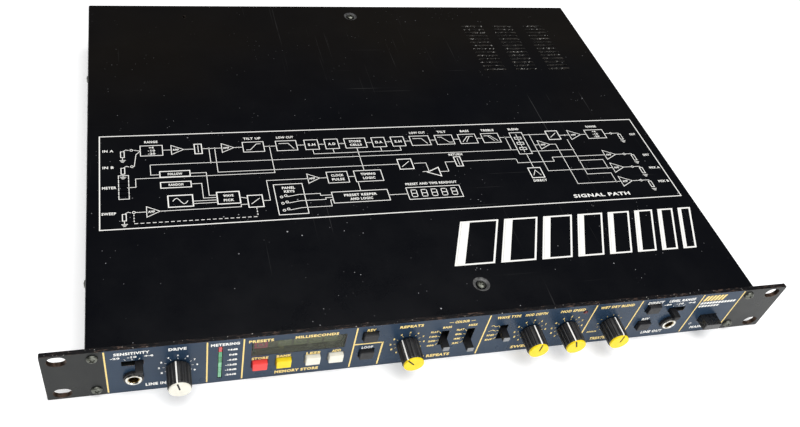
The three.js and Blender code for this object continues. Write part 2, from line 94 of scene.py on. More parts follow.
def middle(node):
    """A node's middle across and up the panel, in millimetres."""
    low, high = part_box(node)
    return (low[0] + high[0]) / 2 / MM, (low[2] + high[2]) / 2 / MM


# ---- shaders


class Shader:
    """A node material under construction: a Principled shader and short helpers."""

    def __init__(self, name, colour, roughness, metallic=0.0, specular=0.5):
        self.material = bpy.data.materials.new(name)
        self.material.use_nodes = True
        self.material.diffuse_color = (*colour, 1)
        self.nodes = self.material.node_tree.nodes
        self.links = self.material.node_tree.links
        self.sockets = self.nodes["Principled BSDF"].inputs
        self.feed(self.sockets["Base Color"], colour)
        self.sockets["Roughness"].default_value = roughness
        self.sockets["Metallic"].default_value = metallic
        self.sockets["Specular IOR Level"].default_value = specular
        self.place = self.add("TexCoord", {}, "Object")

    def feed(self, socket, value):
        if isinstance(value, bpy.types.NodeSocket):
            self.links.new(value, socket)
        else:
            socket.default_value = (*value, 1) if socket.type == "RGBA" else value

    def add(self, kind, inputs, output=0, **settings):
        """Adds a node with these inputs, each a number or another node's output."""
        node = self.nodes.new("ShaderNode" + kind)
        for key, value in settings.items():
            setattr(node, key, value)
        for key, value in inputs.items():
            self.feed(node.inputs[key], value)
        return node.outputs[output]

    def stretched(self, scale, turn=(0, 0, 0)):
        return self.add("Mapping", {"Scale": scale, "Rotation": turn, "Vector": self.place})

    def noise(self, scale, detail=3, rough=0.5, place=None):
        return self.add("TexNoise", {"Scale": scale, "Detail": detail, "Roughness": rough,
                                     "Vector": place or self.place}, "Fac")

    def cells(self, scale):
        return self.add("TexVoronoi", {"Scale": scale, "Vector": self.place}, "Distance")

    def span(self, value, low, high, to_low=0.0, to_high=1.0):
        return self.add("MapRange", {"From Min": low, "From Max": high, "To Min": to_low, "To Max": to_high,
                                     "Value": value}, "Result")

    def patches(self, scale, detail, low, high, rough=0.5, share=1.0):
        """Noise patches: 0 where the noise is under low, share where it is over high."""
        return self.span(self.noise(scale, detail, rough), low, high, 0.0, share)

    def uneven(self, scale, detail, low, high):
        """A number that wanders between low and high."""
        return self.span(self.noise(scale, detail), 0.3, 0.7, low, high)

    def maths(self, operation, a, b=0.0):
        return self.add("Math", {0: a, 1: b}, operation=operation)

    def times(self, a, b):
        return self.maths("MULTIPLY", a, b)

    def mixed(self, share, a, b):
        """The colours a and b mixed; 6 and 7 are the Mix node's colour inputs, 2 its colour output."""
        return self.add("Mix", {0: share, 6: a, 7: b}, 2, data_type="RGBA")

    def normal(self):
        return self.add("NewGeometry", {}, "Normal")

    def edges(self, radius, low=0.005, high=0.08):
        """1 on edges, 0 on flats: how far the rounded normal leans from the real one."""
        rounded = self.add("Bevel", {"Radius": radius}, samples=6)
        lean = self.add("VectorMath", {0: rounded, 1: self.normal()}, "Value", operation="DOT_PRODUCT")
        return self.span(lean, 1 - low, 1 - high)

    def axis(self, which, of=None):
        return self.add("SeparateXYZ", {0: of or self.place}, which)

    def made(self, colour, roughness=None, bump=None):
        """The finished material; bump is (height, distance, strength)."""
        self.feed(self.sockets["Base Color"], colour)
        if roughness:
            self.feed(self.sockets["Roughness"], roughness)
        if bump:
            height, distance, strength = bump
            normal = self.add("Bump", {"Height": height, "Distance": distance, "Strength": strength}, "Normal")
            self.feed(self.sockets["Normal"], normal)
        return self.material


def scaled(colour, factor):
    return tuple(c * factor for c in colour)


def plastic(name, colour, roughness=0.42, dirt=0.25, specular=0.5):
    """Moulded plastic: fine spark-eroded grain with faint grime and dull handling marks."""
    s = Shader(name, colour, roughness, specular=specular)
    grime = s.maths("MAXIMUM", s.patches(220, 5, 0.45, 0.7, 0.6), s.patches(1400, 2, 0.55, 0.75, share=0.35))
    return s.made(s.mixed(grime, colour, scaled(colour, 1 - dirt)),
                  s.uneven(500, 3, roughness - 0.07, roughness + 0.1), (s.noise(5200, 2), 0.00002, 0.5))


def enamel(name):
    """The case's black enamel: orange peel, smears, dust, hairline scratches, worn edges, and a painted warm sheen
    towards the back.
    """
    s = Shader(name, (0.003, 0.0033, 0.0042), 0.3, specular=0.15)
    cool, warm_sheen = (0.0020, 0.0023, 0.0036), (0.0056, 0.0046, 0.0037)
    # Painted reflection: a warm sheen in patches, growing stronger towards the back of the lid.
    warm_sheen_towards_back = s.times(s.patches(5, 2, 0.35, 0.6), s.span(s.axis("Y"), -0.04, 0.12))
    ground = s.mixed(warm_sheen_towards_back, cool, warm_sheen)
    along = s.span(s.noise(1, 2, 0.4, s.stretched((900, 9, 9), (0, 0, 0.5))), 0.72, 0.76)
    cross = s.span(s.noise(1, 2, 0.4, s.stretched((8, 700, 8), (0, 0, 0.2))), 0.74, 0.78)
    hairlines = s.times(s.maths("MAXIMUM", along, cross), s.patches(14, 3, 0.52, 0.66, share=0.35))
    scratched = s.mixed(hairlines, ground, (0.09, 0.09, 0.09))
    fine = s.times(s.span(s.cells(260), 0.10, 0.05), s.patches(60, 2, 0.55, 0.66))
    large = s.times(s.span(s.cells(95), 0.06, 0.04), s.patches(38, 2, 0.56, 0.60))
    nearer = s.span(s.axis("Y"), 0.10, -0.12, 0.2, 0.8)
    dusty = s.mixed(s.times(s.maths("MAXIMUM", fine, large), nearer), scratched, (0.5, 0.5, 0.52))
    worn = s.times(s.edges(0.0005), s.patches(160, 4, 0.54, 0.66, 0.65))
    smears = s.span(s.noise(26, 5, 0.62), 0.3, 0.7, 0.24, 0.38)
    return s.made(s.mixed(worn, dusty, (0.16, 0.13, 0.11)), smears, (s.noise(1500, 2), 0.00004, 0.35))


def panel_paint(name, blue_half):
    """Blue satin paint between the ears, dark grey paint on the ears and the back."""
    s = Shader(name, (0.018, 0.038, 0.070), 0.3, specular=0.2)
    across = s.maths("ABSOLUTE", s.axis("X"))
    front = s.span(s.axis("Y", s.normal()), -0.6, -0.8)
    is_blue = s.times(s.span(across, blue_half + 0.00005, blue_half - 0.00005), front)
    brushed = s.span(s.noise(1, 3, 0.6, s.stretched((25, 1, 1400))), 0.3, 0.7)
    blue = s.mixed(brushed, (0.0165, 0.0355, 0.065), (0.0200, 0.0410, 0.077))
    grey = s.mixed(s.patches(60, 4, 0.35, 0.65), (0.010, 0.0115, 0.0115), (0.016, 0.0175, 0.0165))
    rubs = s.patches(900, 3, 0.62, 0.72, share=0.10)
    rubbed = s.mixed(rubs, s.mixed(is_blue, grey, blue), (0.06, 0.065, 0.07))
    chips = s.times(s.edges(0.0006), s.patches(190, 4, 0.50, 0.60, 0.7))
    return s.made(s.mixed(chips, rubbed, (0.20, 0.13, 0.09)), s.uneven(45, 4, 0.24, 0.38),
                  (s.noise(2600, 2), 0.00003, 0.4))


def worn_edge(name):
    """The panel's edges: black paint, scratched through to brown primer, with pale nicks."""
    black, primer = (0.004, 0.004, 0.005), (0.085, 0.055, 0.043)
    s = Shader(name, black, 0.42, specular=0.14)
    marks = s.span(s.noise(1, 4, 0.7, s.stretched((240, 1100, 600))), 0.53, 0.62)
    scratched = s.mixed(s.times(marks, s.patches(70, 3, 0.40, 0.58)), black, primer)
    return s.made(s.mixed(s.patches(620, 2, 0.68, 0.72, 0.6), scratched, (0.42, 0.40, 0.37)),
                  s.uneven(300, 3, 0.34, 0.55), (marks, 0.00003, 0.4))


def ink(name, colour):
    """Screen print: opaque, slightly uneven and thinned by handling."""
    s = Shader(name, colour, 0.5, specular=0.3)
    thin = s.patches(700, 4, 0.62, 0.76, 0.7, share=0.35)
    return s.made(s.mixed(thin, colour, scaled(colour, 0.45)), s.uneven(300, 2, 0.42, 0.6))


def metal(name, colour, roughness, tarnish, turned=False):
    """Bare or plated metal with a directional finish and dull patches."""
    s = Shader(name, colour, roughness, metallic=1.0)
    lines = s.noise(1, 3, 0.6, s.stretched((4, 900, 4) if turned else (30, 1600, 30)))
    return s.made(s.mixed(s.patches(420, 4, 0.42, 0.68, 0.6), colour, tarnish),
                  s.span(lines, 0.3, 0.7, roughness - 0.06, roughness + 0.14), (s.noise(3000, 2), 0.00001, 0.4))


def fluted_plastic(name):
    """A knob's side: dark plastic, dusty in the flutes and rubbed grey on the ridges."""
    s = Shader(name, (0.010, 0.010, 0.011), 0.4)
    ridge = s.times(s.edges(0.0004, 0.01, 0.12), s.patches(350, 4, 0.4, 0.65, share=0.6))
    dusty = s.mixed(s.patches(800, 4, 0.5, 0.72, 0.65, share=0.5), (0.009, 0.009, 0.010), (0.034, 0.034, 0.033))
    return s.made(s.mixed(ridge, dusty, (0.055, 0.055, 0.055)), s.uneven(260, 3, 0.36, 0.55),
                  (s.noise(4200, 3), 0.00003, 0.5))


def smoked_acrylic(name):
    """The display's window: olive smoke, partly see-through, with fine wipe marks."""
    smoke = (0.075, 0.082, 0.050)
    s = Shader(name, smoke, 0.16)
    s.sockets["Alpha"].default_value = 0.36
    haze = s.span(s.noise(1, 3, 0.6, s.stretched((60, 60, 900))), 0.45, 0.75, 0, 0.4)
    return s.made(s.mixed(haze, smoke, (0.100, 0.108, 0.075)), s.uneven(90, 3, 0.12, 0.26))


def lamp(name, colour):
    """Tinted lamp resin with a soft inner mottle."""
    s = Shader(name, colour, 0.22)
    s.sockets["Subsurface Weight"].default_value = 0.25
    s.sockets["Subsurface Radius"].default_value = (0.001, 0.001, 0.001)
    pale = tuple(min(1, c * 1.25 + 0.02) for c in colour)
    return s.made(s.mixed(s.patches(1800, 2, 0.35, 0.65), colour, pale), bump=(s.noise(2400, 2), 0.00002, 0.3))


def board(name, mask, track):
    """Solder mask with copper tracks showing through as a paler pattern."""
    s = Shader(name, mask, 0.35)
    lanes = s.span(s.cells(190), 0.30, 0.34)
    return s.made(s.mixed(lanes, track, mask), s.uneven(300, 3, 0.28, 0.5), (lanes, 0.00004, 0.5))


def dusty_wall(name):
    """The vent slots' walls: dull black paint with grey dust and bright specks on it."""
    s = Shader(name, (0.05, 0.05, 0.047), 0.6, specular=0.2)
    film = s.mixed(s.patches(160, 3, 0.4, 0.7), (0.022, 0.021, 0.020), (0.085, 0.08, 0.072))
    specks = s.patches(520, 2, 0.59, 0.65, 0.6)
    return s.made(s.mixed(specks, film, (0.62, 0.61, 0.58)), bump=(s.noise(1500, 3), 0.00003, 0.5))


def pressed_seat(name):
    """The pressed seat round a cover screw: paler grey patches, partly enamel rubbed by the screw and partly a
    painted highlight on its slope.
    """
    s = Shader(name, (0.05, 0.05, 0.05), 0.42)
    rubbed_and_highlight = s.patches(420, 4, 0.38, 0.66, 0.65)
    return s.made(s.mixed(rubbed_and_highlight, (0.022, 0.022, 0.023), (0.11, 0.11, 0.108)), s.uneven(260, 3, 0.32, 0.55))


BLUE_HALF = 0.2083

LOOKS = {
    "case_paint": enamel("case_enamel"),
    "panel_paint": panel_paint("panel_paint", BLUE_HALF),
    "screw_steel": metal("screw_steel", (0.18, 0.185, 0.16), 0.4, (0.08, 0.085, 0.07)),
    "window_smoked": smoked_acrylic("window_smoked"),
    "module_black": plastic("module_black", (0.020, 0.020, 0.020), 0.5),
    "lamp_red": lamp("lamp_red", (0.11, 0.010, 0.015)),
    "board_green": board("board_green", (0.014, 0.062, 0.026), (0.030, 0.115, 0.050)),
    "transformer_steel": metal("transformer_steel", (0.34, 0.34, 0.33), 0.38, (0.2, 0.19, 0.17)),
    "sink_aluminium": metal("sink_aluminium", (0.62, 0.62, 0.62), 0.34, (0.42, 0.42, 0.41)),
    "socket_black": plastic("socket_black", (0.014, 0.014, 0.015), 0.38),
    "jack_chrome": metal("jack_chrome", (0.80, 0.79, 0.74), 0.16, (0.60, 0.57, 0.48), turned=True),
    "pot_metal": metal("pot_metal", (0.5, 0.49, 0.46), 0.36, (0.33, 0.31, 0.27)),
    "knob_black": fluted_plastic("knob_black"),
    "cap_white": plastic("cap_white", (0.80, 0.78, 0.68), 0.45, dirt=0.08, specular=0.35),
    "cap_yellow": plastic("cap_yellow", (0.88, 0.66, 0.012), 0.42, dirt=0.08, specular=0.25),
    "key_red": plastic("key_red", (0.86, 0.055, 0.05), 0.4, dirt=0.08, specular=0.3),
    "key_grey": plastic("key_grey", (0.009, 0.0095, 0.012), 0.4, specular=0.3),
    "key_black": plastic("key_black", (0.005, 0.0052, 0.0058), 0.27, specular=0.75),
    "lever_black": plastic("lever_black", (0.004, 0.004, 0.005), 0.45, specular=0.25),
    "print_white": ink("print_white", (0.90, 0.89, 0.85)),
    "print_gold": ink("print_gold", (0.93, 0.70, 0.25)),
}
PANEL_EDGE = worn_edge("panel_edge")
BARE_SLOT = metal("bare_slot_wall", (0.15, 0.10, 0.075), 0.5, (0.045, 0.035, 0.03))
BRASS = metal("contact_brass", (0.42, 0.30, 0.12), 0.3, (0.18, 0.12, 0.05))
VENT_WALL = dusty_wall("vent_wall")
SEAT = pressed_seat("screw_seat")
DARK_BOARD = board("control_board_dark", (0.004, 0.010, 0.006), (0.006, 0.014, 0.009))
# A pale grey for the upright levers' tips: a painted highlight of the front light.
LEVER_TIP_HIGHLIGHT = plastic("lever_tip_highlight", (0.26, 0.27, 0.28), 0.5)
METER_RED = lamp("meter_red", (0.50, 0.05, 0.05))
METER_GREENS = [lamp(f"meter_green_{i}", c) for i, c in enumerate(
    [(0.07, 0.30, 0.14), (0.05, 0.23, 0.09), (0.17, 0.45, 0.25), (0.14, 0.38, 0.21), (0.15, 0.40, 0.23)])]
DIGIT_RED = lamp("digit_red", (0.95, 0.10, 0.26))
DIGIT_GREEN = lamp("digit_green", (0.29, 0.35, 0.18))
DIGIT_BED = plastic("digit_bed", (0.17, 0.17, 0.11), 0.5)
SEGMENT_PALE = plastic("segment_pale", (0.24, 0.25, 0.19), 0.5)

# ---- mesh building


def linked(name, data):
    """A new object in the scene."""
    obj = bpy.data.objects.new(name, data)
    scene.collection.objects.link(obj)
    return obj


def piece(name, mesh, matrix, look, body=CHASSIS, stands_for=(), extra_materials=()):
    """Places a mesh drawn in millimetres as one piece of the unit."""
    mesh.transform(matrix)
    mesh.name = name
    for material in (LOOKS[look], *extra_materials):
        mesh.materials.append(material)
    for polygon in mesh.polygons:
        polygon.use_smooth = True
    mesh.set_sharp_from_angle(angle=math.radians(32))
    obj = linked(name, mesh)
    even = obj.modifiers.new("even_normals", "WEIGHTED_NORMAL")
    even.keep_sharp = True
    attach(obj, body)
    if stands_for:
        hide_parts(*stands_for)


def mesh_of(bm):
    mesh = bpy.data.meshes.new("piece")
    bmesh.ops.recalc_face_normals(bm, faces=bm.faces)
    bm.to_mesh(mesh)
    bm.free()
    return mesh


def joined(meshes):
    """One mesh of several; each face keeps its material's number."""
    bm = bmesh.new()
    for mesh in meshes:
        bm.from_mesh(mesh)
        bpy.data.meshes.remove(mesh)
    mesh = bpy.data.meshes.new("joined")
    bm.to_mesh(mesh)
    bm.free()
    return mesh


def painted(mesh, number):
    """The same mesh with all its faces on the piece's material of that number."""
    mesh.polygons.foreach_set("material_index", [number] * len(mesh.polygons))
    return mesh


def moved(mesh, x, y, z=0.0, turn=0.0):
    mesh.transform(Matrix.Translation((x, y, z)) @ Matrix.Rotation(turn, 4, "Z"))
    return mesh


def circle(x, y, radius, count=32):
    turn = [2 * math.pi * i / count for i in range(count)]
    return [(x + radius * math.cos(a), y + radius * math.sin(a)) for a in turn]


def knurled(radius, depth, every, count):
    """A round outline whose every so many-th point is drawn in by depth."""
    radii = [radius - (depth if i % every == 0 else 0) for i in range(count)]
    return [(x * r, y * r) for (x, y), r in zip(circle(0, 0, 1, count), radii)]


def arc(x, y, radius, start, end, count=6):
    turn = [math.radians(start + (end - start) * i / count) for i in range(count + 1)]
    return [(x + radius * math.cos(a), y + radius * math.sin(a)) for a in turn]


def rounded(x, y, width, height, radius, count=5):
    right, left = x + width / 2 - radius, x - width / 2 + radius
    top, low = y + height / 2 - radius, y - height / 2 + radius
    return (arc(right, low, radius, -90, 0, count) + arc(right, top, radius, 0, 90, count)
            + arc(left, top, radius, 90, 180, count) + arc(left, low, radius, 180, 270, count))


def ring(bm, outline, z):
    return [bm.verts.new((x, y, z)) for x, y in outline]


def bridge(bm, below, above):
    """Faces between two rings, either of which may be a single point."""
    sides = max(len(below), len(above))
    for i in range(sides):
        j = (i + 1) % sides
        corners = [below[i % len(below)], below[j % len(below)], above[j % len(above)], above[i % len(above)]]
        unique = list(dict.fromkeys(corners))
        if len(unique) > 2:
            bm.faces.new(unique)


def turned_shape(profile, sides=48):
    """A closed shape turned about z: profile points are (radius, z), from the axis to the axis."""
    bm = bmesh.new()
    rings = [ring(bm, circle(0, 0, r, sides) if r > 1e-6 else [(0, 0)], z) for r, z in profile]
    for below, above in zip(rings, rings[1:]):
        bridge(bm, below, above)
    return mesh_of(bm)


def tube(inner, outer, z0, z1, sides=40):
    """A round tube about z."""
    bm = bmesh.new()
    corners = ((inner, z0), (outer, z0), (outer, z1), (inner, z1))
    rings = [ring(bm, circle(0, 0, r, sides), z) for r, z in corners]
    for here, there in zip(rings, rings[1:] + rings[:1]):
        bridge(bm, here, there)
    return mesh_of(bm)


def stacked(sections):
    """A closed solid through flat outlines at rising heights: sections are (outline, z)."""
    bm = bmesh.new()
    rings = [ring(bm, outline, z) for outline, z in sections]
    bm.faces.new(rings[0])
    bm.faces.new(rings[-1])
    for below, above in zip(rings, rings[1:]):
        bridge(bm, below, above)
    return mesh_of(bm)


def prism(outline, z0, z1):
    return stacked([(outline, z0), (outline, z1)])


def baked(obj, *helpers):
    """The object's mesh with its modifiers applied; the object and its helpers are removed."""
    bpy.context.view_layer.update()
    depsgraph = bpy.context.evaluated_depsgraph_get()
    mesh = bpy.data.meshes.new_from_object(obj.evaluated_get(depsgraph))
    for extra in (obj, *helpers):
        data = extra.data
        bpy.data.objects.remove(extra)
        (bpy.data.meshes if isinstance(data, bpy.types.Mesh) else bpy.data.curves).remove(data)
    return mesh


def mesh_from(curve):
    """A curve or text as a clean mesh."""
    mesh = baked(linked("temporary", curve))
    bm = bmesh.new()
    bm.from_mesh(mesh)
    bmesh.ops.remove_doubles(bm, verts=bm.verts, dist=1e-5)
    bm.to_mesh(mesh)
    bm.free()
    return mesh


def plate(outlines, z0, z1, bevel=0.15, rounds=1):
    """A flat plate between z0 and z1 with bevelled edges; outlines inside the first are holes."""
    curve = bpy.data.curves.new("outline", "CURVE")
    curve.dimensions = "2D"
    curve.fill_mode = "BOTH"
    for outline in outlines:
        spline = curve.splines.new("POLY")
        spline.points.add(len(outline) - 1)
        for point, (x, y) in zip(spline.points, outline):
            point.co = (x, y, 0, 1)
        spline.use_cyclic_u = True
    curve.extrude = (z1 - z0) / 2 - bevel
    curve.bevel_depth = bevel
    curve.bevel_resolution = rounds
    curve.offset = -bevel
    return moved(mesh_from(curve), 0, 0, (z0 + z1) / 2)


def soft_box(low, high, bevel=0.3, segments=3, taper=0.0):
    """A box with rounded edges; taper draws its top (high z) in on each side."""
    bm = bmesh.new()
    bmesh.ops.create_cube(bm, size=1)
    size = [b - a for a, b in zip(low, high)]
    centre = [(a + b) / 2 for a, b in zip(low, high)]
    for vert in bm.verts:
        shrink = taper if vert.co.z > 0 else 0.0
        x = centre[0] + vert.co.x * (size[0] - 2 * shrink)
        y = centre[1] + vert.co.y * (size[1] - 2 * shrink)
        vert.co = (x, y, centre[2] + vert.co.z * size[2])
    if bevel:
        bmesh.ops.bevel(bm, geom=bm.edges[:], offset=bevel, segments=segments, affect="EDGES", profile=0.5)
    return mesh_of(bm)


def worked(mesh, cutters=(), bevel=0.0, segments=2, angle=40):
    """The mesh with the cutters taken out of it and its sharp edges bevelled."""
    obj = linked("work", mesh)
    helpers = []
    if cutters:
        helpers.append(linked("tool", joined(cutters)))
        cut = obj.modifiers.new("cut", "BOOLEAN")
        cut.object = helpers[0]
        cut.solver = "EXACT"
        cut.use_self = False
    if bevel:
        soften = obj.modifiers.new("soften", "BEVEL")
        soften.width = bevel
        soften.segments = segments
        soften.limit_method = "ANGLE"
        soften.angle_limit = math.radians(angle)
        soften.use_clamp_overlap = False
    return baked(obj, *helpers)


# ---- print

INK = 0.03
PRINT = {"panel_white": [], "panel_gold": [], "lid_white": [], "rear_white": []}


def words(sheet, text, x0, x1, y, height, weight=0.045):
    """A word or number fitted between x0 and x1, centred on y."""
    curve = bpy.data.curves.new("words", "FONT")
    curve.body = text
    curve.offset = weight
    curve.space_character = 1.12
    curve.extrude = 0.1
    curve.resolution_u = 2
    mesh = mesh_from(curve)
    xs = [v.co.x for v in mesh.vertices]
    ys = [v.co.y for v in mesh.vertices]
    wide, tall = max(xs) - min(xs), max(ys) - min(ys)
    for v in mesh.vertices:
        v.co.x = x0 + (v.co.x - min(xs)) / wide * (x1 - x0)
        v.co.y = y + ((v.co.y - min(ys)) / tall - 0.5) * height
        v.co.z = INK if v.co.z > 0 else 0.0
    PRINT[sheet].append(mesh)


def number(sheet, text, x, y, height):
    wide = height * 0.62 * len(text)
    words(sheet, text, x - wide / 2, x + wide / 2, y, height, 0.09)


def stroke(sheet, points, width, closed=False):
    """A printed line of even width through the points, mitred at its corners."""
    pts = [Vector(p) for p in points]
    last = len(pts) - 1
    bm = bmesh.new()
    sections = []
    for i, here in enumerate(pts):
        into = (here - pts[i - 1]).normalized() if closed or i > 0 else None
        away = (pts[(i + 1) % len(pts)] - here).normalized() if closed or i < last else None
        if into is None or away is None:
            run = into or away
            lean = Vector((-run.y, run.x)) * (width / 2)
        else:
            lean = Vector((-(into.y + away.y), into.x + away.x)).normalized()
            lean *= width / 2 / max(0.35, lean.dot(Vector((-into.y, into.x))))
        left, right = here + lean, here - lean
        corners = ((left, 0), (left, INK), (right, INK), (right, 0))
        sections.append([bm.verts.new((p.x, p.y, z)) for p, z in corners])
    for here, there in zip(sections, sections[1:]):
        bridge(bm, here, there)
    if closed:
        bridge(bm, sections[-1], sections[0])
    else:
        bm.faces.new(sections[0])
        bm.faces.new(sections[-1])
    PRINT[sheet].append(mesh_of(bm))


def filled(sheet, outline):
    PRINT[sheet].append(prism(outline, 0.0, INK))


def bar(sheet, x0, y0, x1, y1):
    filled(sheet, [(x0, y0), (x1, y0), (x1, y1), (x0, y1)])


# ---- front panel

KEY_FACE = (9.3, 7.6)
KEYS = ["store_button", "preset_button", "down_button", "up_button", "phase_button",
        "freeze_button", "direct_button", "output_phase_button"]
KNOB_NAMES = ["gain", "repeats", "depth", "speed", "mix"]
CROSS_LEVERS = ["input_pad_lever", "output_pad_lever"]
UPRIGHT_LEVERS = ["low_tone_lever", "high_tone_lever", "wave_shape_lever"]
CROSS_SLOT = (12.2, 4.4)
UPRIGHT_SLOT = (5.0, 14.8)
POWER_FACE = (12.5, 6.4)
WINDOW = (56.6, 13.6)
METER = (2.6, 32.6)
RACK_SLOT = (10.6, 8.4)
RACK_PITCH = (465.1, 31.75)
RACK_HOLES = [(sx * RACK_PITCH[0] / 2, PANEL_HEIGHT / 2 + sz * RACK_PITCH[1] / 2)
              for sx in (-1, 1) for sz in (-1, 1)]
EAR_SCREWS = [f"{side}_{end}_ear_screw" for side in ("left", "right") for end in ("lower", "upper")]
joint_of = {joint["child"]: joint for joint in frame["joints"]}
window_x, window_z = middle("display_window")
meter_x, meter_z = middle("level_meter")


def slot_middle(lever):
    """The middle of a lever's slot: its place at the middle of its travel."""
    x, z = middle(lever)
    joint = joint_of[lever]
    shift = sum(joint["range_m"]) / 2 / MM
    return x + shift * joint["axis"][0], z + shift * joint["axis"][2]


def front_panel():
    outlines = [rounded(0, PANEL_HEIGHT / 2, 2 * PANEL_HALF, PANEL_HEIGHT, 0.9)]
    outlines += [rounded(x, z, *RACK_SLOT, RACK_SLOT[1] / 2 - 0.01, 12) for x, z in RACK_HOLES]
    for key in [*KEYS, "power_button"]:
        wide, high = POWER_FACE if key == "power_button" else KEY_FACE
        outlines.append(rounded(*middle(key), wide + 0.6, high + 0.6, 0.5, 3))
    for lever in CROSS_LEVERS + UPRIGHT_LEVERS:
        opening = CROSS_SLOT if lever in CROSS_LEVERS else UPRIGHT_SLOT
        outlines.append(rounded(*slot_middle(lever), *opening, 0.4, 3))
    outlines.append(rounded(window_x, window_z, *WINDOW, 0.4, 3))
    outlines.append(rounded(meter_x, meter_z, *METER, 0.3, 3))
    for node, radius, sides in (*((f"{name}_knob", 3.8, 32) for name in KNOB_NAMES),
                                ("input_jack", 5.0, 32), ("output_jack", 5.0, 32), ("rate_light", 1.8, 20),
                                *((name, 1.8, 16) for name in EAR_SCREWS)):
        outlines.append(circle(*middle(node), radius, sides))
    mesh = plate(outlines, -PANEL_THICKNESS, 0, 0.2, 2)
    # The rack slots' walls are bare metal where the paint has been rubbed off.
    for polygon in mesh.polygons:
        c, n = polygon.center, polygon.normal
        near = any(abs(c.x - x) < 5.5 and abs(c.y - z) < 4.4 for x, z in RACK_HOLES)
        if near and abs(n.z) < 0.5:
            polygon.material_index = 1
        elif abs(n.z) < 0.95 and (not 0.7 < c.y < PANEL_HEIGHT - 0.7 or abs(c.x) > PANEL_HALF - 0.7):
            polygon.material_index = 2
    piece("front_panel_plate", mesh, ON_PANEL, "panel_paint", stands_for=["front_panel"],
          extra_materials=[BARE_SLOT, PANEL_EDGE])


front_panel()


# ---- panel print

TOP_ROW = 39.4
KEY_ROW = 21.5
LOW_ROW = 4.6
LABEL = 2.65
STOP_PITCH = 3.6
LEAF_PITCH = 4.85
DIAL_START, DIAL_STEP = -150, 30
TICK = (7.7, 8.9)
NUMBERS_AT = 10.9
GOLD_LINES = [-207.5, -150.75, -129.75, -62.4, 23, 96.75, 130.1, 176.6, 208.2]


def knob_scale(sheet, x, z, numbered=True):
    """Eleven marks round a knob, from 150 degrees left of the top to 150 right."""
    for i in range(11):
        angle = math.radians(DIAL_START + DIAL_STEP * i)
        s, c = math.sin(angle), math.cos(angle)
        stroke(sheet, [(x + r * s, z + r * c) for r in TICK], 0.3)
        if numbered:
            number(sheet, str(i), x + NUMBERS_AT * s, z + NUMBERS_AT * c, 1.8)


def switch_marks(lever, labels):
    """Gold labels left of an upright switch, each tied to its lever position by a short line."""
    x, z = slot_middle(lever)
    for i, label in enumerate(labels):
        label_z = z + (1.5 - i) * LEAF_PITCH
        mark_z = z + (1.5 - i) * STOP_PITCH
        edge = x - UPRIGHT_SLOT[0] / 2 - 0.4
        stroke("panel_gold", [(edge - 1.4, label_z), (edge, mark_z)], 0.3)
        inner = edge - 1.9
        outer = inner - 5.0
        if label == "wave":
            points = [(inner - 4.4 * (1 - k / 12), label_z + 0.8 * math.sin(k / 12 * 2 * math.pi))
                      for k in range(13)]
            stroke("panel_gold", points, 0.4)
        elif label == "peak":
            peak = ((outer + inner) / 2, label_z + 0.8)
            stroke("panel_gold", [(outer, label_z - 0.8), peak, (inner, label_z - 0.8)], 0.4)
        else:
            words("panel_gold", label, outer, inner, label_z, 1.85)


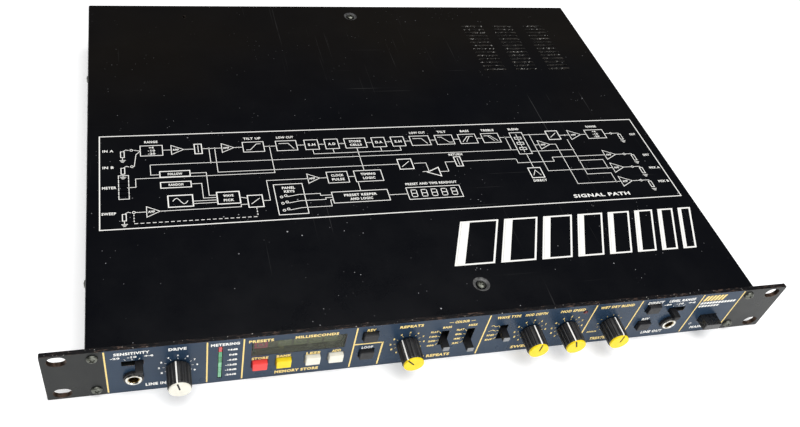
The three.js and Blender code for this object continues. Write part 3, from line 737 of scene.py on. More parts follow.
def panel_words():
    white, gold = "panel_white", "panel_gold"
    for x in GOLD_LINES:
        bar(gold, x - 0.44, 1.6, x + 0.44, PANEL_HEIGHT - 0.9)
    bar(gold, -61.9, 25.1, -44.1, 26.1)
    bar(gold, -44.6, 1.6, -43.6, 26.1)
    for sheet, y, height, labels in (
        (white, TOP_ROW, LABEL, [("SENSITIVITY", -202.4, -182.8), ("DRIVE", -172.5, -162.4),
                                 ("METERING", -148.8, -132.2), ("DIRECT", 135.3, 147.2),
                                 ("LEVEL RANGE", 151.3, 171.3)]),
        (white, 21.6, LABEL, [("LOOP", -57, -49.7), ("REV", 138.4, 143.8)]),
        (white, 6.0, 2.9, [("LINE IN", -186.3, -174.5)]),
        (white, 5.6, 2.9, [("LINE OUT", 144.5, 161.0), ("MAINS", 183.4, 195.0)]),
        (gold, TOP_ROW, LABEL, [("PRESETS", -127, -112.4), ("MILLISECONDS", -99.7, -73.5), ("REV", -56, -50.6),
                                ("REPEATS", -35.5, -20.3), ("COLOUR", 0.1, 9.7), ("WAVE TYPE", 28, 44.25),
                                ("MOD DEPTH", 47.4, 62.6), ("MOD SPEED", 72, 89.5),
                                ("WET DRY BLEND", 100.3, 125.1)]),
        (gold, 34.7, 2.1, [("BASS", -6.9, -1), ("HISS", 10.2, 15.9)]),
        (gold, KEY_ROW, LABEL, [("STORE", -124.6, -114.6), ("BANK", -109.6, -100.6), ("LESS", -91.6, -82.8),
                                ("ADD", -75.6, -70.0)]),
        (gold, 13, 1.6, [("SOURCE", 100.3, 107.2)]),
        (gold, LOW_ROW, 3.1, [("MEMORY STORE", -109.75, -82.5), ("ECHO REPEATS", -23.9, 4.25),
                              ("SWEEPING", 47.2, 70.6), ("TREATED", 105.5, 119.5)]),
    ):
        for text, x0, x1 in labels:
            words(sheet, text, x0, x1, y, height)
    for x0, x1 in ((-3.7, -0.8), (10.6, 13.4)):
        bar(gold, x0, TOP_ROW - 0.2, x1, TOP_ROW + 0.2)
    for i, text in enumerate(["+6", "0", "-6", "-12", "-18", "-24"]):
        z = 33.6 - 5.25 * i
        words(white, f"{text}dB", -134.6 - 0.95 * len(text) - 2.6, -133.2, z, 1.9, 0.05)
    knob_scale(white, *middle("gain_knob"))
    for name in ("repeats", "depth", "speed"):
        knob_scale(gold, *middle(f"{name}_knob"))
    knob_scale(gold, *middle("mix_knob"), numbered=False)
    for lever in CROSS_LEVERS:
        x, z = slot_middle(lever)
        for i, text in enumerate(("-20", "-10", "+4")):
            spot = x + (i - 1) * 9.2
            words(white, text, spot - 2.6, spot + 2.6, 35.7, 1.9)
            stroke(white, [(x + (i - 1) * 4.4, 34.2), (x + (i - 1) * 3.6, 32.9)], 0.3)
    switch_marks("low_tone_lever", ["FLAT", "100", "200", "400"])
    switch_marks("high_tone_lever", ["FLAT", "8K", "4K", "2K"])
    switch_marks("wave_shape_lever", ["wave", "peak", "RND", "ENV"])
    # A plain maker's-plate pattern: gold bars over two plain rules.
    for i in range(6):
        x = 178.4 + 2.75 * i
        filled(gold, [(x, 35.6), (x + 1.9, 35.6), (x + 3.3, 41.2), (x + 1.4, 41.2)])
    for y, height, count in ((33.3, 2.2, 12), (30.0, 1.9, 7)):
        for i in range(count):
            x = 178.0 + 2.3 * i
            filled(white, [(x, y - height / 2), (x + 1.7, y - height / 2), (x + 2.2, y + height / 2),
                           (x + 0.5, y + height / 2)])
    # A small ring beside the mains button.
    stroke(white, circle(186.4 - 5.2, 10.4, 0.9, 14), 0.3, closed=True)


panel_words()

# ---- controls on the panel


def cross_head(radius, height, shank):
    """A domed cross-head screw; z = 0 is the face that its head sits on."""
    dome = [(radius * math.cos(t), 0.35 + (height - 0.35) * math.sin(t))
            for t in (math.pi / 2 * i / 9 for i in range(10))]
    dome[-1] = (0, height)
    profile = [(0, -shank), (1.4, -shank), (1.4, 0), (radius - 0.15, 0), (radius, 0.15), *dome]
    wing, half = radius * 0.55, 0.42
    quarter = [(half, half), (half, wing), (-half, wing)]
    cross = [(x * c - y * s, x * s + y * c) for c, s in ((1, 0), (0, 1), (-1, 0), (0, -1)) for x, y in quarter]
    recess = moved(prism(cross, height - 0.95, height + 1), 0, 0, 0, 0.5)
    return worked(turned_shape(profile, 40), [recess], 0.08, 2, 50)


for screw in EAR_SCREWS:
    piece(f"{screw}_head", moved(cross_head(3.2, 2.1, 4.5), *middle(screw)), ON_PANEL, "screw_steel",
          stands_for=[screw])

FLUTES = 18
POINTS_PER_FLUTE = 8


def knob_outline(radius, depth):
    """Broad ridges with narrow round-bottomed flutes between them."""
    outline = circle(0, 0, 1, FLUTES * POINTS_PER_FLUTE)
    dips = [max(0.0, math.cos(2 * math.pi * i / POINTS_PER_FLUTE)) ** 0.8 for i in range(POINTS_PER_FLUTE)]
    radii = [radius - depth * dips[i % POINTS_PER_FLUTE] for i in range(len(outline))]
    return [(x * r, y * r) for (x, y), r in zip(outline, radii)]


def fluted_side(radius, length):
    """The knob's shell: fluted side, chamfered ends, and a ledge round the cap's seat."""
    sections = [(0.8, radius - 0.5, 0.15), (1.2, radius, 0.5), (length - 1.0, radius - 0.1, 0.5),
                (length - 0.35, radius - 0.35, 0.35), (length, radius - 0.75, 0.0)]
    return stacked([(knob_outline(r, depth), z) for z, r, depth in sections])


KNOB_LENGTH = 14.9
CAP_FACE = 16.2
CAP_RADIUS = 6.45
POINTERS = {name: DIAL_START - joint_of[f"{name}_control"]["range_deg"][0] for name in KNOB_NAMES}


def knob(name):
    x, z = middle(f"{name}_knob")
    body = f"{name}_control"
    pointer = math.radians(POINTERS[name])
    bore = turned_shape([(0, 0.5), (3.1, 0.5), (3.1, 12.4), (0, 12.4)], 32)
    mouth = turned_shape([(0, 0.5), (5.2, 0.5), (5.2, 3.2), (0, 3.2)], 32)
    side = worked(fluted_side(7.1, KNOB_LENGTH), [bore, mouth])
    piece(f"{name}_knob_body", moved(side, x, z), ON_PANEL, "knob_black", body, [f"{name}_knob"])
    # The index line: an inlaid strip along the side and over the rim to the cap.
    strip = soft_box((-0.42, 6.55, 1.0), (0.42, 7.16, KNOB_LENGTH - 0.2), 0.08, 2)
    over = soft_box((-0.42, 6.3, KNOB_LENGTH - 0.5), (0.42, 6.95, KNOB_LENGTH + 0.25), 0.08, 2)
    line = moved(joined([strip, over]), x, z, 0, -pointer)
    piece(f"{name}_knob_line", line, ON_PANEL, "print_white", body)
    crown = [(CAP_RADIUS * k / 6, CAP_FACE + 0.12 * (1 - (k / 6) ** 2)) for k in range(6)]
    profile = [(0, KNOB_LENGTH - 0.6), (5.3, KNOB_LENGTH - 0.6), (5.3, KNOB_LENGTH + 0.05),
               (CAP_RADIUS, KNOB_LENGTH + 0.05), (CAP_RADIUS, CAP_FACE - 0.3),
               (CAP_RADIUS - 0.12, CAP_FACE - 0.08), (CAP_RADIUS - 0.35, CAP_FACE), *crown[:0:-1],
               (0, CAP_FACE + 0.12)]
    groove = soft_box((-0.52, 0.2, CAP_FACE - 0.3), (0.52, 8, CAP_FACE + 1), 0)
    cap = worked(turned_shape(profile, 56), [groove], 0.06, 2, 50)
    look = "cap_white" if name == "gain" else "cap_yellow"
    piece(f"{name}_knob_cap_disc", moved(cap, x, z, 0, -pointer), ON_PANEL, look, body, [f"{name}_knob_cap"])
    paint_line = soft_box((-0.5, 0.25, CAP_FACE - 0.32), (0.5, CAP_RADIUS - 0.05, CAP_FACE - 0.1), 0)
    piece(f"{name}_cap_groove", moved(paint_line, x, z, 0, -pointer), ON_PANEL, "lever_black", body)


for knob_name in KNOB_NAMES:
    knob(knob_name)


def lever(name):
    """A slide switch's lever: a waisted stem, with a paler tip on the upright levers, a painted highlight where
    the front light catches it.
    """
    x, z = middle(name)
    back = -3.8
    stem = soft_box((-2.3, -1.8, back), (2.3, 1.8, 7.1), 0.25, 3, 0.1)
    tip = soft_box((-2.15, -1.65, 6.6), (2.15, 1.65, 7.7), 0.3, 3, 0.1)
    plate_part = soft_box((-2.8, -2.8, back - 0.8), (2.8, 2.8, back + 0.3), 0.1, 2)
    tongue = soft_box((-1.1, -1.1, -8.5), (1.1, 1.1, back), 0.1, 1)
    # The upright levers' tips take the paler tip material, a painted highlight of the front light.
    mesh = joined([stem, painted(tip, int(name in UPRIGHT_LEVERS)), plate_part, tongue])
    piece(f"{name}_stem", moved(mesh, x, z), ON_PANEL, "lever_black", name, [name], [LEVER_TIP_HIGHLIGHT])


for lever_name in CROSS_LEVERS + UPRIGHT_LEVERS:
    lever(lever_name)


def button(name, look, face, proud, stem_end):
    """A moulded key: cap with a slightly dished face, skirt and stem."""
    x, z = middle(name)
    half_w, half_h = face[0] / 2, face[1] / 2
    cap = soft_box((-half_w, -half_h, -3.8), (half_w, half_h, proud), 0.45, 4, 0.22)
    rim = half_w * 1.9
    dish = turned_shape([(0, proud - 0.18), (rim, proud + 1.2), (rim, proud + 3), (0, proud + 3)], 64)
    cap = worked(cap, [dish], 0.12, 2, 20)
    skirt = soft_box((-half_w - 1, -half_h - 0.8, -4.5), (half_w + 1, half_h + 0.8, -3.4), 0.1, 1)
    stem = soft_box((-1.5, -1.5, stem_end), (1.5, 1.5, -4.3), 0.1, 1)
    piece(f"{name}_cap", moved(joined([cap, skirt, stem]), x, z), ON_PANEL, look, name, [name])


KEY_LOOKS = {"store_button": "key_red", "preset_button": "cap_yellow", "down_button": "cap_white",
             "up_button": "cap_white"}
for key_name in KEYS:
    button(key_name, KEY_LOOKS.get(key_name, "key_grey"), KEY_FACE, 2.8, -9.9)
button("power_button", "key_black", POWER_FACE, 8.5, -13)


def front_jack(name):
    x, z = middle(name)
    ring = [(3.2, -25), (4.6, -25), (4.6, 1.9), (4.75, 2.1), (4.75, 2.6), (4.45, 2.95), (3.75, 2.95),
            (3.3, 2.5), (3.25, 1.8), (3.2, -25)]
    bush = turned_shape(ring, 48)
    body = soft_box((-7, -6, -27.3), (7, 6, -3.3), 0.4, 2)
    bore = turned_shape([(0, -25.2), (3.35, -25.2), (3.35, 0), (0, 0)], 32)
    body = worked(body, [bore])
    contact = soft_box((-1.4, -3.1, -12), (1.4, -2.5, -3), 0.1, 2)
    liner = tube(2.95, 3.3, -24, 2.2)
    mesh = joined([bush, painted(body, 1), painted(contact, 2), painted(liner, 2)])
    piece(f"{name}_bush", moved(mesh, x, z), ON_PANEL, "jack_chrome", stands_for=[name],
          extra_materials=[LOOKS["socket_black"], BRASS])
    nut = plate([knurled(5.85, 0.18, 4, 96), circle(0, 0, 4.95, 40)], 0.05, 2.1, 0.18, 2)
    piece(f"{name}_nut_ring", moved(nut, x, z), ON_PANEL, "socket_black", stands_for=[f"{name}_nut"])


front_jack("input_jack")
front_jack("output_jack")

# ---- display and lights


def seven_segments(x, z, height, on_face):
    """An unlit digit's seven segments as thin slanted bars on the module's face."""
    wide = height * 0.52
    half = height / 2
    lean = 0.12
    bars = []

    def segment(x0, z0, x1, z1):
        run = Vector((x1 - x0, z1 - z0))
        across = Vector((-run.y, run.x)).normalized() * (height * 0.055)
        run = run.normalized() * (height * 0.05)
        a, b = Vector((x0, z0)) + run, Vector((x1, z1)) - run
        corners = [a + across, a - across, b - across, b + across]
        bars.append(prism([(x + c.x + lean * c.y, z + c.y) for c in corners], on_face, on_face + 0.05))

    for z0 in (-half, 0, half):
        segment(-wide / 2, z0, wide / 2, z0)
    for x0 in (-wide / 2, wide / 2):
        segment(x0, -half, x0, 0)
        segment(x0, 0, x0, half)
    bars.append(prism(circle(x + wide / 2 + 1.1, z - half, 0.35, 12), on_face, on_face + 0.05))
    return bars


def display():
    back = -PANEL_THICKNESS - 0.3
    pane = plate([rounded(window_x, window_z, WINDOW[0] - 0.6, WINDOW[1] - 0.6, 0.3, 3)], back, -0.1, 0.1)
    inside = rounded(window_x, window_z, WINDOW[0] - 1.4, WINDOW[1] - 1.4, 0.3, 3)
    outside = rounded(window_x, window_z, WINDOW[0] + 4, WINDOW[1] + 2, 0.3, 3)
    flange = plate([outside, inside], back - 1.2, back, 0.1)
    piece("display_window_pane", joined([pane, flange]), ON_PANEL, "window_smoked",
          stands_for=["display_window"])
    face = -4.0
    bits = [soft_box((window_x - 27, window_z - 6.2, -14.1), (window_x + 27, window_z + 6.2, -5.2), 0.3, 2),
            painted(soft_box((window_x - 27, window_z - 5.8, -5.6), (window_x + 27, window_z + 5.8, face - 0.4),
                             0.2, 2), 4)]
    digits = [(-22.2, 1)] + [(-8 + 9.4 * i, 2) for i in range(4)]
    for offset, tint in digits:
        x = window_x + offset
        lens = soft_box((x - 4, window_z - 5.4, face - 1), (x + 4, window_z + 5.4, face), 0.2, 2)
        bits.append(painted(lens, tint))
        bits += [painted(s, 3) for s in seven_segments(x, window_z, 7.2, face)]
    piece("display_digits", joined(bits), ON_PANEL, "module_black", stands_for=["display_module"],
          extra_materials=[DIGIT_RED, DIGIT_GREEN, SEGMENT_PALE, DIGIT_BED])


display()


def meter():
    low = meter_z - METER[1] / 2 + 0.3
    step = (METER[1] - 0.6) / 6
    body = soft_box((meter_x - 2.7, meter_z - 17, -14.1), (meter_x + 2.7, meter_z + 17, -3.3), 0.3, 2)
    bits = [body]
    for i in range(6):
        bottom = low + step * i + 0.12
        block = soft_box((meter_x - 1.0, bottom, -4.5), (meter_x + 1.0, bottom + step - 0.24, -0.25), 0.15, 2)
        bits.append(painted(block, 6 - i))
    piece("level_meter_lights", joined(bits), ON_PANEL, "module_black", stands_for=["level_meter"],
          extra_materials=[METER_RED, *METER_GREENS])


meter()


def rate_light():
    x, z = middle("rate_light")
    dome = [(1.3 * math.cos(t), 0.1 + 0.8 * math.sin(t)) for t in (math.pi / 2 * i / 8 for i in range(8))]
    lens = turned_shape([(0, -14), (1.3, -14), (1.3, 0), *dome, (0, 0.9)], 28)
    collar = tube(1.35, 1.75, -1.5, 0.1, 28)
    mesh = joined([lens, painted(collar, 1)])
    piece("rate_light_lens", moved(mesh, x, z), ON_PANEL, "lamp_red", stands_for=["rate_light"],
          extra_materials=[LOOKS["socket_black"]])


rate_light()

# ---- case

VENT_COLUMNS = (114.6, 144.0, 174.7)
VENT_ROWS = [250 + 4.95 * row for row in range(14)]
VENT = (19.6, 1.8)
VENT_AREA_X, VENT_AREA_Y = (100, 190), (245, 320)
LID_SCREWS = [("front_cover_screw", 24.9, 24.9), ("rear_cover_screw", 4.3, 330.6)]
SIDE_SCREWS_Y = (57, 258)


def cover():
    """The folded cover: a top and two sides with bent corners, slots and pressed screw seats."""
    half, top = CASE_HALF, LID_Z / MM
    bend = 1.6
    low = cover_low[2] / MM
    outline = [(-half, low), (-half + SHEET, low), (-half + SHEET, top - SHEET),
               (half - SHEET, top - SHEET), (half - SHEET, low), (half, low)]
    outline += arc(half - bend, top - bend, bend, 0, 90) + arc(bend - half, top - bend, bend, 90, 180)
    shell = prism(outline, 0, CASE_DEPTH)
    shell.transform(Matrix.Rotation(math.pi / 2, 4, "X"))
    shell.transform(Matrix.Translation((0, CASE_FRONT + CASE_DEPTH, 0)))
    cutters = []
    for x in VENT_COLUMNS:
        for y in VENT_ROWS:
            cutters.append(prism(rounded(x, y, *VENT, VENT[1] / 2 - 0.01, 4), top - 3, top + 3))
    for _, x, y in LID_SCREWS:
        seat = turned_shape([(0, -0.95), (3.7, -0.95), (5.7, 0.02), (5.7, 2), (0, 2)], 48)
        cutters.append(moved(seat, x, y, top))
    spare = turned_shape([(0, -2), (1.5, -2), (1.5, 2), (0, 2)], 20)
    cutters.append(moved(spare, -140.6, 329.4, top))
    mesh = worked(shell, cutters, 0.14, 2, 50)
    for polygon in mesh.polygons:
        c, n = polygon.center, polygon.normal
        by_vents = VENT_AREA_X[0] < c.x < VENT_AREA_X[1] and VENT_AREA_Y[0] < c.y < VENT_AREA_Y[1]
        by_screw = any(math.hypot(c.x - x, c.y - y) < 5.8 for _, x, y in LID_SCREWS)
        if by_vents and abs(n.z) < 0.6 and c.z > top - 2:
            polygon.material_index = 1
        # The seat faces take the seat material: rubbed paint and a painted highlight.
        elif by_screw and n.z < 0.99 and c.z > top - 1:
            polygon.material_index = 2
    piece("top_cover_shell", mesh, IN_UNIT, "case_paint", stands_for=["top_cover"],
          extra_materials=[VENT_WALL, SEAT])
    for node, x, y in LID_SCREWS:
        mesh = moved(cross_head(3.0, 1.6, 5), x, y, -0.93)
        piece(f"{node}_head", mesh, ON_LID, "screw_steel", stands_for=[node])
    for side, plane in (("left", LEFT_SIDE), ("right", RIGHT_SIDE)):
        for i, y in enumerate(SIDE_SCREWS_Y):
            along = -y if side == "left" else y
            mesh = moved(cross_head(3.0, 1.7, 1), along, 33.0, 0)
            piece(f"{side}_side_screw_{i + 1}", mesh, plane, "screw_steel")


cover()

# ---- lid print


def lid_box(x0, y0, x1, y1, width=0.54):
    stroke("lid_white", [(x0, y0), (x1, y0), (x1, y1), (x0, y1)], width, closed=True)


def lid_wire(*points):
    stroke("lid_white", list(points), 0.44)


def lid_amp(x, y, size=8.5):
    """An amplifier triangle pointing right, with its tip at x + size."""
    stroke("lid_white", [(x, y - size * 0.55), (x + size, y), (x, y + size * 0.55)], 0.48, closed=True)
    lid_words("AMP", x + size * 0.36, y, 1.8, 0.8)


def lid_dot(x, y, radius=0.75):
    filled("lid_white", circle(x, y, radius, 12))


def lid_ring(x, y, radius=0.9):
    stroke("lid_white", circle(x, y, radius, 14), 0.45, closed=True)


def lid_words(text, x, y, height=2.1, pitch=0.86):
    wide = height * pitch * len(text)
    words("lid_white", text, x - wide / 2, x + wide / 2, y, height * 1.1, 0.03)


def lid_ground(x, y):
    """Three ground bars, each shorter than the one above; y is the top one's lower edge."""
    for i in range(3):
        bar("lid_white", x - 2 + 0.6 * i, y - 0.9 * i, x + 2 - 0.6 * i, y + 0.4 - 0.9 * i)


def lid_jack(x, y):
    """A socket symbol: sleeve, tip ring and ground marks."""
    lid_box(x - 1.2, y - 3.4, x + 1.2, y + 2.4, 0.55)
    lid_wire((x, y + 2.4), (x + 2.4, y + 4.2), (x + 4.2, y + 3.4))
    lid_ring(x + 6.0, y + 3.6)
    lid_ground(x, y - 6.6)
    lid_wire((x, y - 3.4), (x, y - 6.4))


LID_ROW = 163.5
# The diagram's plain marks, in millimetres on the lid: boxes are two corners and a line width,
# wires are x and y by turns, words and amplifiers start with their place.
LID_BOXES = [
    (-209.1, 91.2, 208.8, 179.7, 0.75), (-145, 158.5, -140, 168.5, 0.7), (-1, 133.5, 9.5, 144, 0.7),
    (43, 134, 48, 144, 0.7), (-170, 136.5, -150, 142, 0.7), (-170, 126, -150, 131.5, 0.7),
    (-166, 108, -150, 118.5, 0.8), (-134, 108.5, -119, 119.5, 0.8), (-114, 104, -104, 115, 0.7),
    (-56, 123, -41, 134), (-36, 123, -16, 134), (-56, 103.5, -16, 114), (-95, 95.5, -75, 124),
    (-2, 103, 38, 114.5), (97, 144, 107.5, 168.5), (97.5, 118, 107.5, 128.5, 0.7), (128, 159, 138, 169, 0.7),
    (162, 158.5, 178, 168.5),
]
LID_WIRES = [
    (-186.5, 164.6, -182, 163.5), (-186.5, 148.1, -185, 160, -182, 163.5), (-142.5, 159.9, -142.5, 167.1),
    (-167, 163.5, -161, 163.5), (-152.5, 163.5, -145, 163.5), (-140, 163.5, -126, 163.5),
    (-61, 153.5, 5, 153.5), (-28, 158.3, -28, 134), (-135, 163.5, -135, 149, 97, 149),
    (-131, 163.5, -131, 139, -1, 139), (11, 139, 20, 139, 20, 130, 15, 130), (-176, 149, -135, 149),
    (-176, 149, -176, 139, -170, 139), (1, 136, 7.5, 141.5), (28, 129.2, 35, 129.2, 35, 139, 43, 139),
    (45.5, 135.5, 45.5, 142.5), (48, 139, 92, 139, 92, 163.5),
    (-191.5, 128, -186, 128, -186, 136, -92, 136, -92, 163.5), (-150, 139.2, -139, 139.2, -139, 117, -134, 117),
    (-150, 128.8, -143, 128.8, -143, 114.8, -134, 114.8), (-150, 112.5, -134, 112.5),
    (-150, 110.2, -134, 110.2), (-187, 105, -180, 105), (-171.5, 105, -119, 105, -119, 107, -114, 107),
    (-119, 114, -114, 112.5), (-112, 107, -106, 112), (-104, 109.5, -99, 109.5, -99, 128.5, -70, 128.5),
    (-61.5, 128.5, -56, 128.5), (-41, 128.5, -36, 128.5), (-35, 123, -35, 114), (-16, 108.5, -2, 108.5),
    (102, 146, 102, 166.5), (99.5, 120.5, 102.5, 126, 105.5, 120.5), (102.5, 128.5, 102.5, 144),
    (107.5, 165.5, 128, 165.5), (107.5, 146.5, 143, 146.5, 143, 158.5), (113, 165.5, 113, 124.5, 167, 124.5),
    (113, 153.5, 117, 153.5), (126, 153.5, 131, 153.5, 131, 109.5, 167, 109.5), (130, 161.5, 136, 166.5),
    (138, 163.5, 147, 163.5), (157, 163.5, 162, 163.5), (178, 163.5, 183, 163.5),
    (92, 149, 92, 134.5, 122, 134.5, 122, 139, 167, 139), (143, 146.5, 143, 134, 163, 134, 163, 124.5),
    (143, 134, 143, 119, 163, 119, 163, 109.5),
]
LID_WORDS = [
    ("STORE", -28, 165.4, 2.1), ("CELLS", -28, 161.6, 2.1), ("RETURN", 45.5, 146.6), ("METER", -203, 128.5),
    ("FOLLOW", -160, 139.2, 2, 0.8), ("RANDOM", -160, 128.8, 2, 0.8), ("WAVE", -126.5, 116, 2),
    ("PICK", -126.5, 111.8, 2), ("CLOCK", -48.5, 130.4, 2.1), ("PULSE", -48.5, 126.4, 2.1),
    ("TIMING", -26, 130.4, 2.1), ("LOGIC", -26, 126.4, 2.1), ("PRESET KEEPER", -36, 110.4, 2.1),
    ("AND LOGIC", -36, 106.6, 2.1), ("PANEL", -85, 120.5, 2.1), ("KEYS", -85, 117, 2.1),
    ("PRESET AND TIME READOUT", 18, 118, 2.1, 0.8), ("BLEND", 102, 172.6), ("DIRECT", 102.5, 115),
    ("RANGE", 170, 172.6), ("OUT", 202.5, 161.5),
]
LID_DOTS = [
    (-135, 149), (-135, 163.5), (-131, 163.5), (92, 163.5), (-92, 163.5), (143, 163.5),
]
LID_AMPS = [
    (-161, 163.5), (-126, 163.5), (-180, 105), (-70, 128.5), (117, 153.5, 9), (147, 163.5, 10),
]


def lid_diagram():
    """A plain signal-flow drawing of a delay: blocks, amplifiers, buses and sockets."""
    row = LID_ROW
    for mark, rows in ((lid_box, LID_BOXES), (lid_words, LID_WORDS), (lid_dot, LID_DOTS), (lid_amp, LID_AMPS)):
        for numbers in rows:
            mark(*numbers)
    for wire in LID_WIRES:
        lid_wire(*zip(wire[::2], wire[1::2]))
    for y, text in ((163.5, "IN A"), (147, "IN B"), (104, "SWEEP")):
        lid_words(text, -203.5, y + 1)
        lid_jack(-194, y - 2.5)
    blocks = [(-182, 15, "RANGE"), (-111, 15, "TILT UP"), (-87, 15, "LOW CUT"), (-66, 10, ""), (-51, 10, ""),
              (-36, 16, ""), (-15, 10, ""), (0, 10, ""), (15, 15, "LOW CUT"), (35, 14, "TILT"),
              (54, 14, "BASS"), (73, 14, "TREBLE")]
    for x, wide, text in blocks:
        lid_box(x, row - 5.2, x + wide, row + 5.2)
        if text:
            lid_words(text, x + wide / 2, row + 9)
    for i, text in enumerate(("+4", "-10", "-20")):
        lid_words(text, -174.5, row + 3.1 - 3.1 * i, 1.9)
        lid_words(text, 170, 166.4 - 2.9 * i, 1.8)
    for x, text in ((-61, "S.H"), (-46, "A.D"), (-10, "D.A"), (5, "S.H")):
        lid_words(text, x, row, 2.3, 0.8)
    for x, rise in ((-111, 1), (35, -1)):
        low, high = row - 3 * rise, row + 3 * rise
        lid_wire((x + 2, low), (x + 5, low), (x + 10, high), (x + 13, high))
    for x in (-87, 15):
        lid_wire((x + 2, row + 2.4), (x + 9, row + 2.4), (x + 12.5, row - 3.6))
    for x, flip in ((54, 1), (73, -1)):
        middle_x = x + 7
        lid_wire((middle_x - 5 * flip, row - 3.4), (middle_x, row + 2.6), (middle_x + 5 * flip, row + 2.6))
        lid_wire((middle_x - 2 * flip, row - 3.4), (middle_x + 2 * flip, row + 2.6))
    for x0, x1 in ((-117.5, -111), (-96, -87), (-72, -66), (-56, -51), (-41, -36), (-20, -15), (-5, 0),
                   (10, 15), (30, 35), (49, 54), (68, 73), (87, 97)):
        lid_wire((x0, row), (x1, row))
        lid_dot((x0 + x1) / 2, row, 0.6)
    for x in (-61, -46, -10, 5):
        lid_wire((x, row - 5.2), (x, 153.5))
    stroke("lid_white", [(28, 124.6), (18.5, 129.2), (28, 133.8)], 0.7, closed=True)
    for i in range(6):
        lid_box(-197, 117.5 + 3.7 * i, -190.5, 121.2 + 3.7 * i, 0.5)
    wave = [(-163 + k * 0.75, 113.2 + 2.6 * math.sin(k / 13 * 2 * math.pi)) for k in range(14)]
    stroke("lid_white", wave, 0.5)
    for i in range(21):
        x = -188 + 3.8 * i
        bar("lid_white", x, 95.0, x + 2.3, 95.5)
    for i in range(3):
        bar("lid_white", -109.3, 96.6 + 2.6 * i, -108.8, 98.1 + 2.6 * i)
        bar("lid_white", -188.3, 96.6 + 2.6 * i, -187.8, 98.1 + 2.6 * i)
    for i, y in enumerate((112, 106, 99.5)):
        lid_ring(-91, y)
        lid_ring(-88, y + 1)
        lid_wire((-87, y), (-79, y + 1.5), (-64 + 3 * i, y + 1.5), (-64 + 3 * i, 111.5 - 2.4 * i),
                 (-56, 111.5 - 2.4 * i))
    for i in range(5):
        x = 0.9 + 7.5 * i
        for y in (105.4, 108.7, 112):
            stroke("lid_white", [(x, y), (x + 3.6, y)], 0.55)
        for dx in (0, 3.9):
            stroke("lid_white", [(x + dx - 0.1, 105.8), (x + dx + 0.1, 111.6)], 0.5)
    for y in (150, 156, 162):
        lid_box(99.4, y - 1.2, 104.8, y + 1.2, 0.5)
    for y, text in ((139, "DRY"), (124.5, "MIX A"), (109.5, "MIX B")):
        lid_amp(167, y, 9.5)
        lid_wire((176.5, y), (183, y))
        lid_words(text, 202.5, y - 2)
    for x, y in ((113, 165.5), (143, 146.5), (143, 134), (163, 124.5), (163, 109.5)):
        lid_dot(x, y)
    for y in (163.5, 139, 124.5, 109.5):
        lid_ring(184, y)
        lid_box(189.4, y - 7.4, 191.8, y - 1.4, 0.55)
        lid_wire((185, y), (190.6, y), (190.6, y - 1.4))
        lid_ground(190.6, y - 9.4)
    words("lid_white", "SIGNAL PATH", 122, 168, 97, 3.4, 0.03)


def lid_motif():
    """A row of leaning frames, each with one solid side, that narrow like fading echoes."""
    lean, low, high = 15.5, 41.6, 78.6
    x = 12.6
    for wide in (27.0, 24.0, 21.0, 18.3, 15.8, 13.4, 11.2, 9.2):
        frame_points = [(x, low), (x + wide, low), (x + wide + lean, high), (x + lean, high)]
        stroke("lid_white", frame_points, 1.25, closed=True)
        side, inset = 0.24 * wide, 0.55
        foot = lean * inset / (high - low)
        filled("lid_white", [(x + inset + foot, low + inset), (x + side + foot, low + inset),
                             (x + side + lean - foot, high - inset), (x + inset + lean - foot, high - inset)])
        x += wide + 5.8


lid_diagram()
lid_motif()

# ---- rear


def rear_side():
    half = rear_high[0] / MM
    low, top = rear_low[2] / MM, rear_high[2] / MM
    outlines = [rounded(0, (low + top) / 2, 2 * half, top - low, 0.5, 2)]
    jacks = [f"rear_jack_{i}" for i in range(1, 7)]
    for node in jacks:
        x, z = middle(node)
        outlines.append(circle(-x, z, 5.0))
    inlet_x, inlet_z = middle("mains_inlet")
    outlines.append(rounded(-inlet_x, inlet_z, 28, 20.6, 1, 3))
    fuse_x, fuse_z = middle("fuse_holder")
    outlines.append(circle(-fuse_x, fuse_z, 6.3))
    sheet = plate(outlines, -SHEET, 0, 0.12)
    foot = soft_box((-half + 1.5, low, -SHEET - 12), (half - 1.5, low + SHEET, -SHEET + 0.1), 0.1, 1)
    piece("rear_panel_plate", joined([sheet, foot]), ON_REAR, "case_paint", stands_for=["rear_panel"])
    for i, (x, z) in enumerate([(-208, 36), (-208, 7), (0, 36), (208, 36), (208, 7)]):
        piece(f"rear_screw_{i + 1}", moved(cross_head(2.9, 1.7, 1), x, z), ON_REAR, "screw_steel")
    names = ["IN", "DIRECT", "MIX A", "MIX B", "PEDAL", "SWITCH"]
    for node, label in zip(jacks, names):
        x, z = middle(node)
        rear_jack(node, -x, z)
        wide = 1.9 * len(label)
        words("rear_white", label, -x - wide / 2, -x + wide / 2, 34, 2.4, 0.02)
        stroke("rear_white", circle(-x, z, 10.2, 40), 0.35, closed=True)
    words("rear_white", "MAINS IN", -inlet_x - 9, -inlet_x + 9, 36.6, 2.4)
    words("rear_white", "FUSE", -fuse_x - 4.5, -fuse_x + 4.5, 34, 2.4)
    mains_inlet(-inlet_x, inlet_z)
    fuse(-fuse_x, fuse_z)


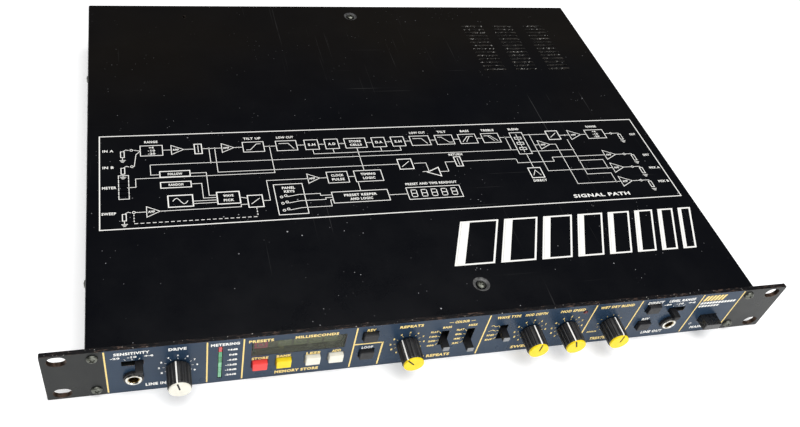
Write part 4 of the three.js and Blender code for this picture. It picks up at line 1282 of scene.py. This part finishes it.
def rear_jack(node, x, z):
    """A plastic-bodied jack with a plated threaded bush, a washer and a hexagon nut."""
    thread = [(3.2, -22), (4.6, -22), (4.6, 0.2)]
    for i in range(7):
        level = 0.4 + 0.75 * i
        thread += [(4.7, level), (4.45, level + 0.37)]
    thread += [(4.5, 5.7), (4.2, 6), (3.6, 6), (3.3, 5.6), (3.2, -22)]
    bush = turned_shape(thread, 40)
    body = worked(soft_box((-7, -6, -25.5), (7, 6, -1.5), 0.4, 2),
                  [turned_shape([(0, -23), (3.35, -23), (3.35, 0), (0, 0)], 32)])
    hexagon = [(7.0 * math.cos(math.pi / 3 * i + 0.3), 7.0 * math.sin(math.pi / 3 * i + 0.3)) for i in range(6)]
    nut = plate([hexagon, circle(0, 0, 4.5, 36)], 0.75, 2.9, 0.25, 2)
    washer = plate([circle(0, 0, 7.4, 44), circle(0, 0, 4.8, 36)], 0.05, 0.7, 0.12)
    liner = tube(2.95, 3.3, -21, 5.2)
    mesh = joined([bush, painted(body, 1), nut, washer, painted(liner, 2)])
    piece(f"{node}_socket", moved(mesh, x, z), ON_REAR, "jack_chrome", stands_for=[node],
          extra_materials=[LOOKS["socket_black"], BRASS])


def mains_inlet(x, z):
    outer = rounded(0, 0, 40.4, 24, 3, 6)
    mouth = [(-11.7, -8), (11.7, -8), (11.7, 4), (8.2, 8), (-8.2, 8), (-11.7, 4)]
    flange = plate([outer, mouth, circle(-17, 0, 1.6, 18), circle(17, 0, 1.6, 18)], 0.05, 2.5, 0.5, 3)
    walls = plate([rounded(0, 0, 27.4, 20, 1, 3), mouth], -20, 1, 0.1)
    floor = soft_box((-13.5, -9.8, -20), (13.5, 9.8, -17), 0.2, 1)
    blades = [painted(soft_box((bx - 1, by - 2, -18), (bx + 1, by + 2, -3.5), 0.35, 2), 1)
              for bx, by in ((-7, -2), (0, 2), (7, -2))]
    mesh = joined([flange, walls, floor, *blades])
    piece("mains_inlet_socket", moved(mesh, x, z), ON_REAR, "socket_black", stands_for=["mains_inlet"],
          extra_materials=[LOOKS["jack_chrome"]])
    for i, side in enumerate((-17, 17)):
        screw = moved(cross_head(2.5, 1.2, 1), x + side, z, 2.2)
        piece(f"mains_inlet_screw_{i + 1}", screw, ON_REAR, "screw_steel")


def fuse(x, z):
    profile = [(0, -30), (5.9, -30), (5.9, 0), (7.5, 0), (7.5, 1.6), (7.0, 2.2), (5.9, 2.2), (0, 2.2)]
    barrel = turned_shape(profile, 40)
    cap = plate([knurled(5.6, 0.35, 3, 72)], 2.0, 6.3, 0.3, 2)
    cap = worked(cap, [soft_box((-4.2, -0.6, 5.2), (4.2, 0.6, 8), 0)])
    piece("fuse_holder_cap", moved(joined([barrel, cap]), x, z), ON_REAR, "socket_black",
          stands_for=["fuse_holder"])


rear_side()

for sheet_name, plane in (("panel_white", ON_PANEL), ("panel_gold", ON_PANEL), ("lid_white", ON_LID),
                          ("rear_white", ON_REAR)):
    look = "print_gold" if sheet_name == "panel_gold" else "print_white"
    piece(f"{sheet_name}_print", joined(PRINT[sheet_name]), plane, look)

# ---- kept CAD nodes

slot_of = {row["node"]: row["material_slot"] for row in frame["record"]["subparts"]}
for node_name, node in frame["nodes"].items():
    material = DARK_BOARD if node_name == "control_board" else LOOKS[slot_of[node_name]]
    node.data.materials.clear()
    node.data.materials.append(material)
    if node_name in ("chassis_tray", "mains_transformer", "heat_sink"):
        soften = node.modifiers.new("soften", "BEVEL")
        soften.width = 0.0002
        soften.segments = 2
        soften.limit_method = "ANGLE"

# ---- stage, light and camera


def stage_floor():
    """A pale sweep: bright round the unit, fading into the pale room further off."""
    s = Shader("pale_floor", (0.93, 0.93, 0.93), 0.7, specular=0.1)
    s.feed(s.sockets["Emission Color"], (1, 1, 1))
    s.feed(s.sockets["Emission Strength"], 0.28)
    distance = s.add("VectorMath", {0: s.place}, "Value", operation="LENGTH")
    s.feed(s.sockets["Alpha"], s.span(distance, 0.8, 1.9, 1, 0))
    s.made(s.mixed(s.patches(3, 3, 0.3, 0.7), (0.92, 0.92, 0.92), (0.94, 0.94, 0.94)))
    bm = bmesh.new()
    bmesh.ops.create_grid(bm, x_segments=4, y_segments=4, size=6)
    floor = linked("floor", mesh_of(bm))
    floor.data.materials.append(s.material)


def area_light(name, place, target, size, power):
    data = bpy.data.lights.new(name, "AREA")
    data.shape = "RECTANGLE"
    data.size, data.size_y = size
    data.energy = power
    light = linked(name, data)
    light.location = place
    light.rotation_euler = (Vector(target) - Vector(place)).to_track_quat("-Z", "Y").to_euler()
    light.visible_camera = False


def studio():
    """A dim room with two soft lights; what shows behind the floor is a pale backdrop."""
    world = bpy.data.worlds.new("studio")
    scene.world = world
    world.use_nodes = True
    nodes, links = world.node_tree.nodes, world.node_tree.links
    room = nodes["Background"]
    room.inputs["Color"].default_value = (0.93, 0.95, 1.0, 1)
    room.inputs["Strength"].default_value = 0.07
    backdrop = nodes.new("ShaderNodeBackground")
    backdrop.inputs["Color"].default_value = (0.95, 0.95, 0.95, 1)
    choice = nodes.new("ShaderNodeMixShader")
    links.new(nodes.new("ShaderNodeLightPath").outputs["Is Camera Ray"], choice.inputs[0])
    links.new(room.outputs[0], choice.inputs[1])
    links.new(backdrop.outputs[0], choice.inputs[2])
    links.new(choice.outputs[0], nodes["World Output"].inputs["Surface"])
    area_light("overhead", (0.1, -0.4, 2.4), (0.05, -0.3, 0), (2.4, 2.2), 78)
    area_light("front", (0.28, -1.6, 0.45), (0, -0.1, 0.02), (1.3, 0.5), 11)
    scene.view_settings.view_transform = "Standard"


def camera():
    """The viewing angle: from the front left, 45 degrees up, leaning a little."""
    heading, tilt, roll = math.radians(20.05), math.radians(45.15), math.radians(11.17)
    forward = Vector((math.sin(heading) * math.cos(tilt), math.cos(heading) * math.cos(tilt), -math.sin(tilt)))
    level = Vector((math.cos(heading), -math.sin(heading), 0))
    upright = level.cross(forward)
    right = level * math.cos(roll) + upright * math.sin(roll)
    up = upright * math.cos(roll) - level * math.sin(roll)
    data = bpy.data.cameras.new("camera")
    data.sensor_width = 36
    data.lens = 36 * 1.0031
    data.shift_x = 0.065
    data.shift_y = -0.0049
    data.clip_start = 0.01
    obj = linked("camera", data)
    turn = Matrix((right, up, -forward)).transposed().to_4x4()
    obj.matrix_world = Matrix.Translation((-0.1793, FRONT_Y - 0.2633, 0.4280)) @ turn
    scene.camera = obj


stage_floor()
studio()
camera()
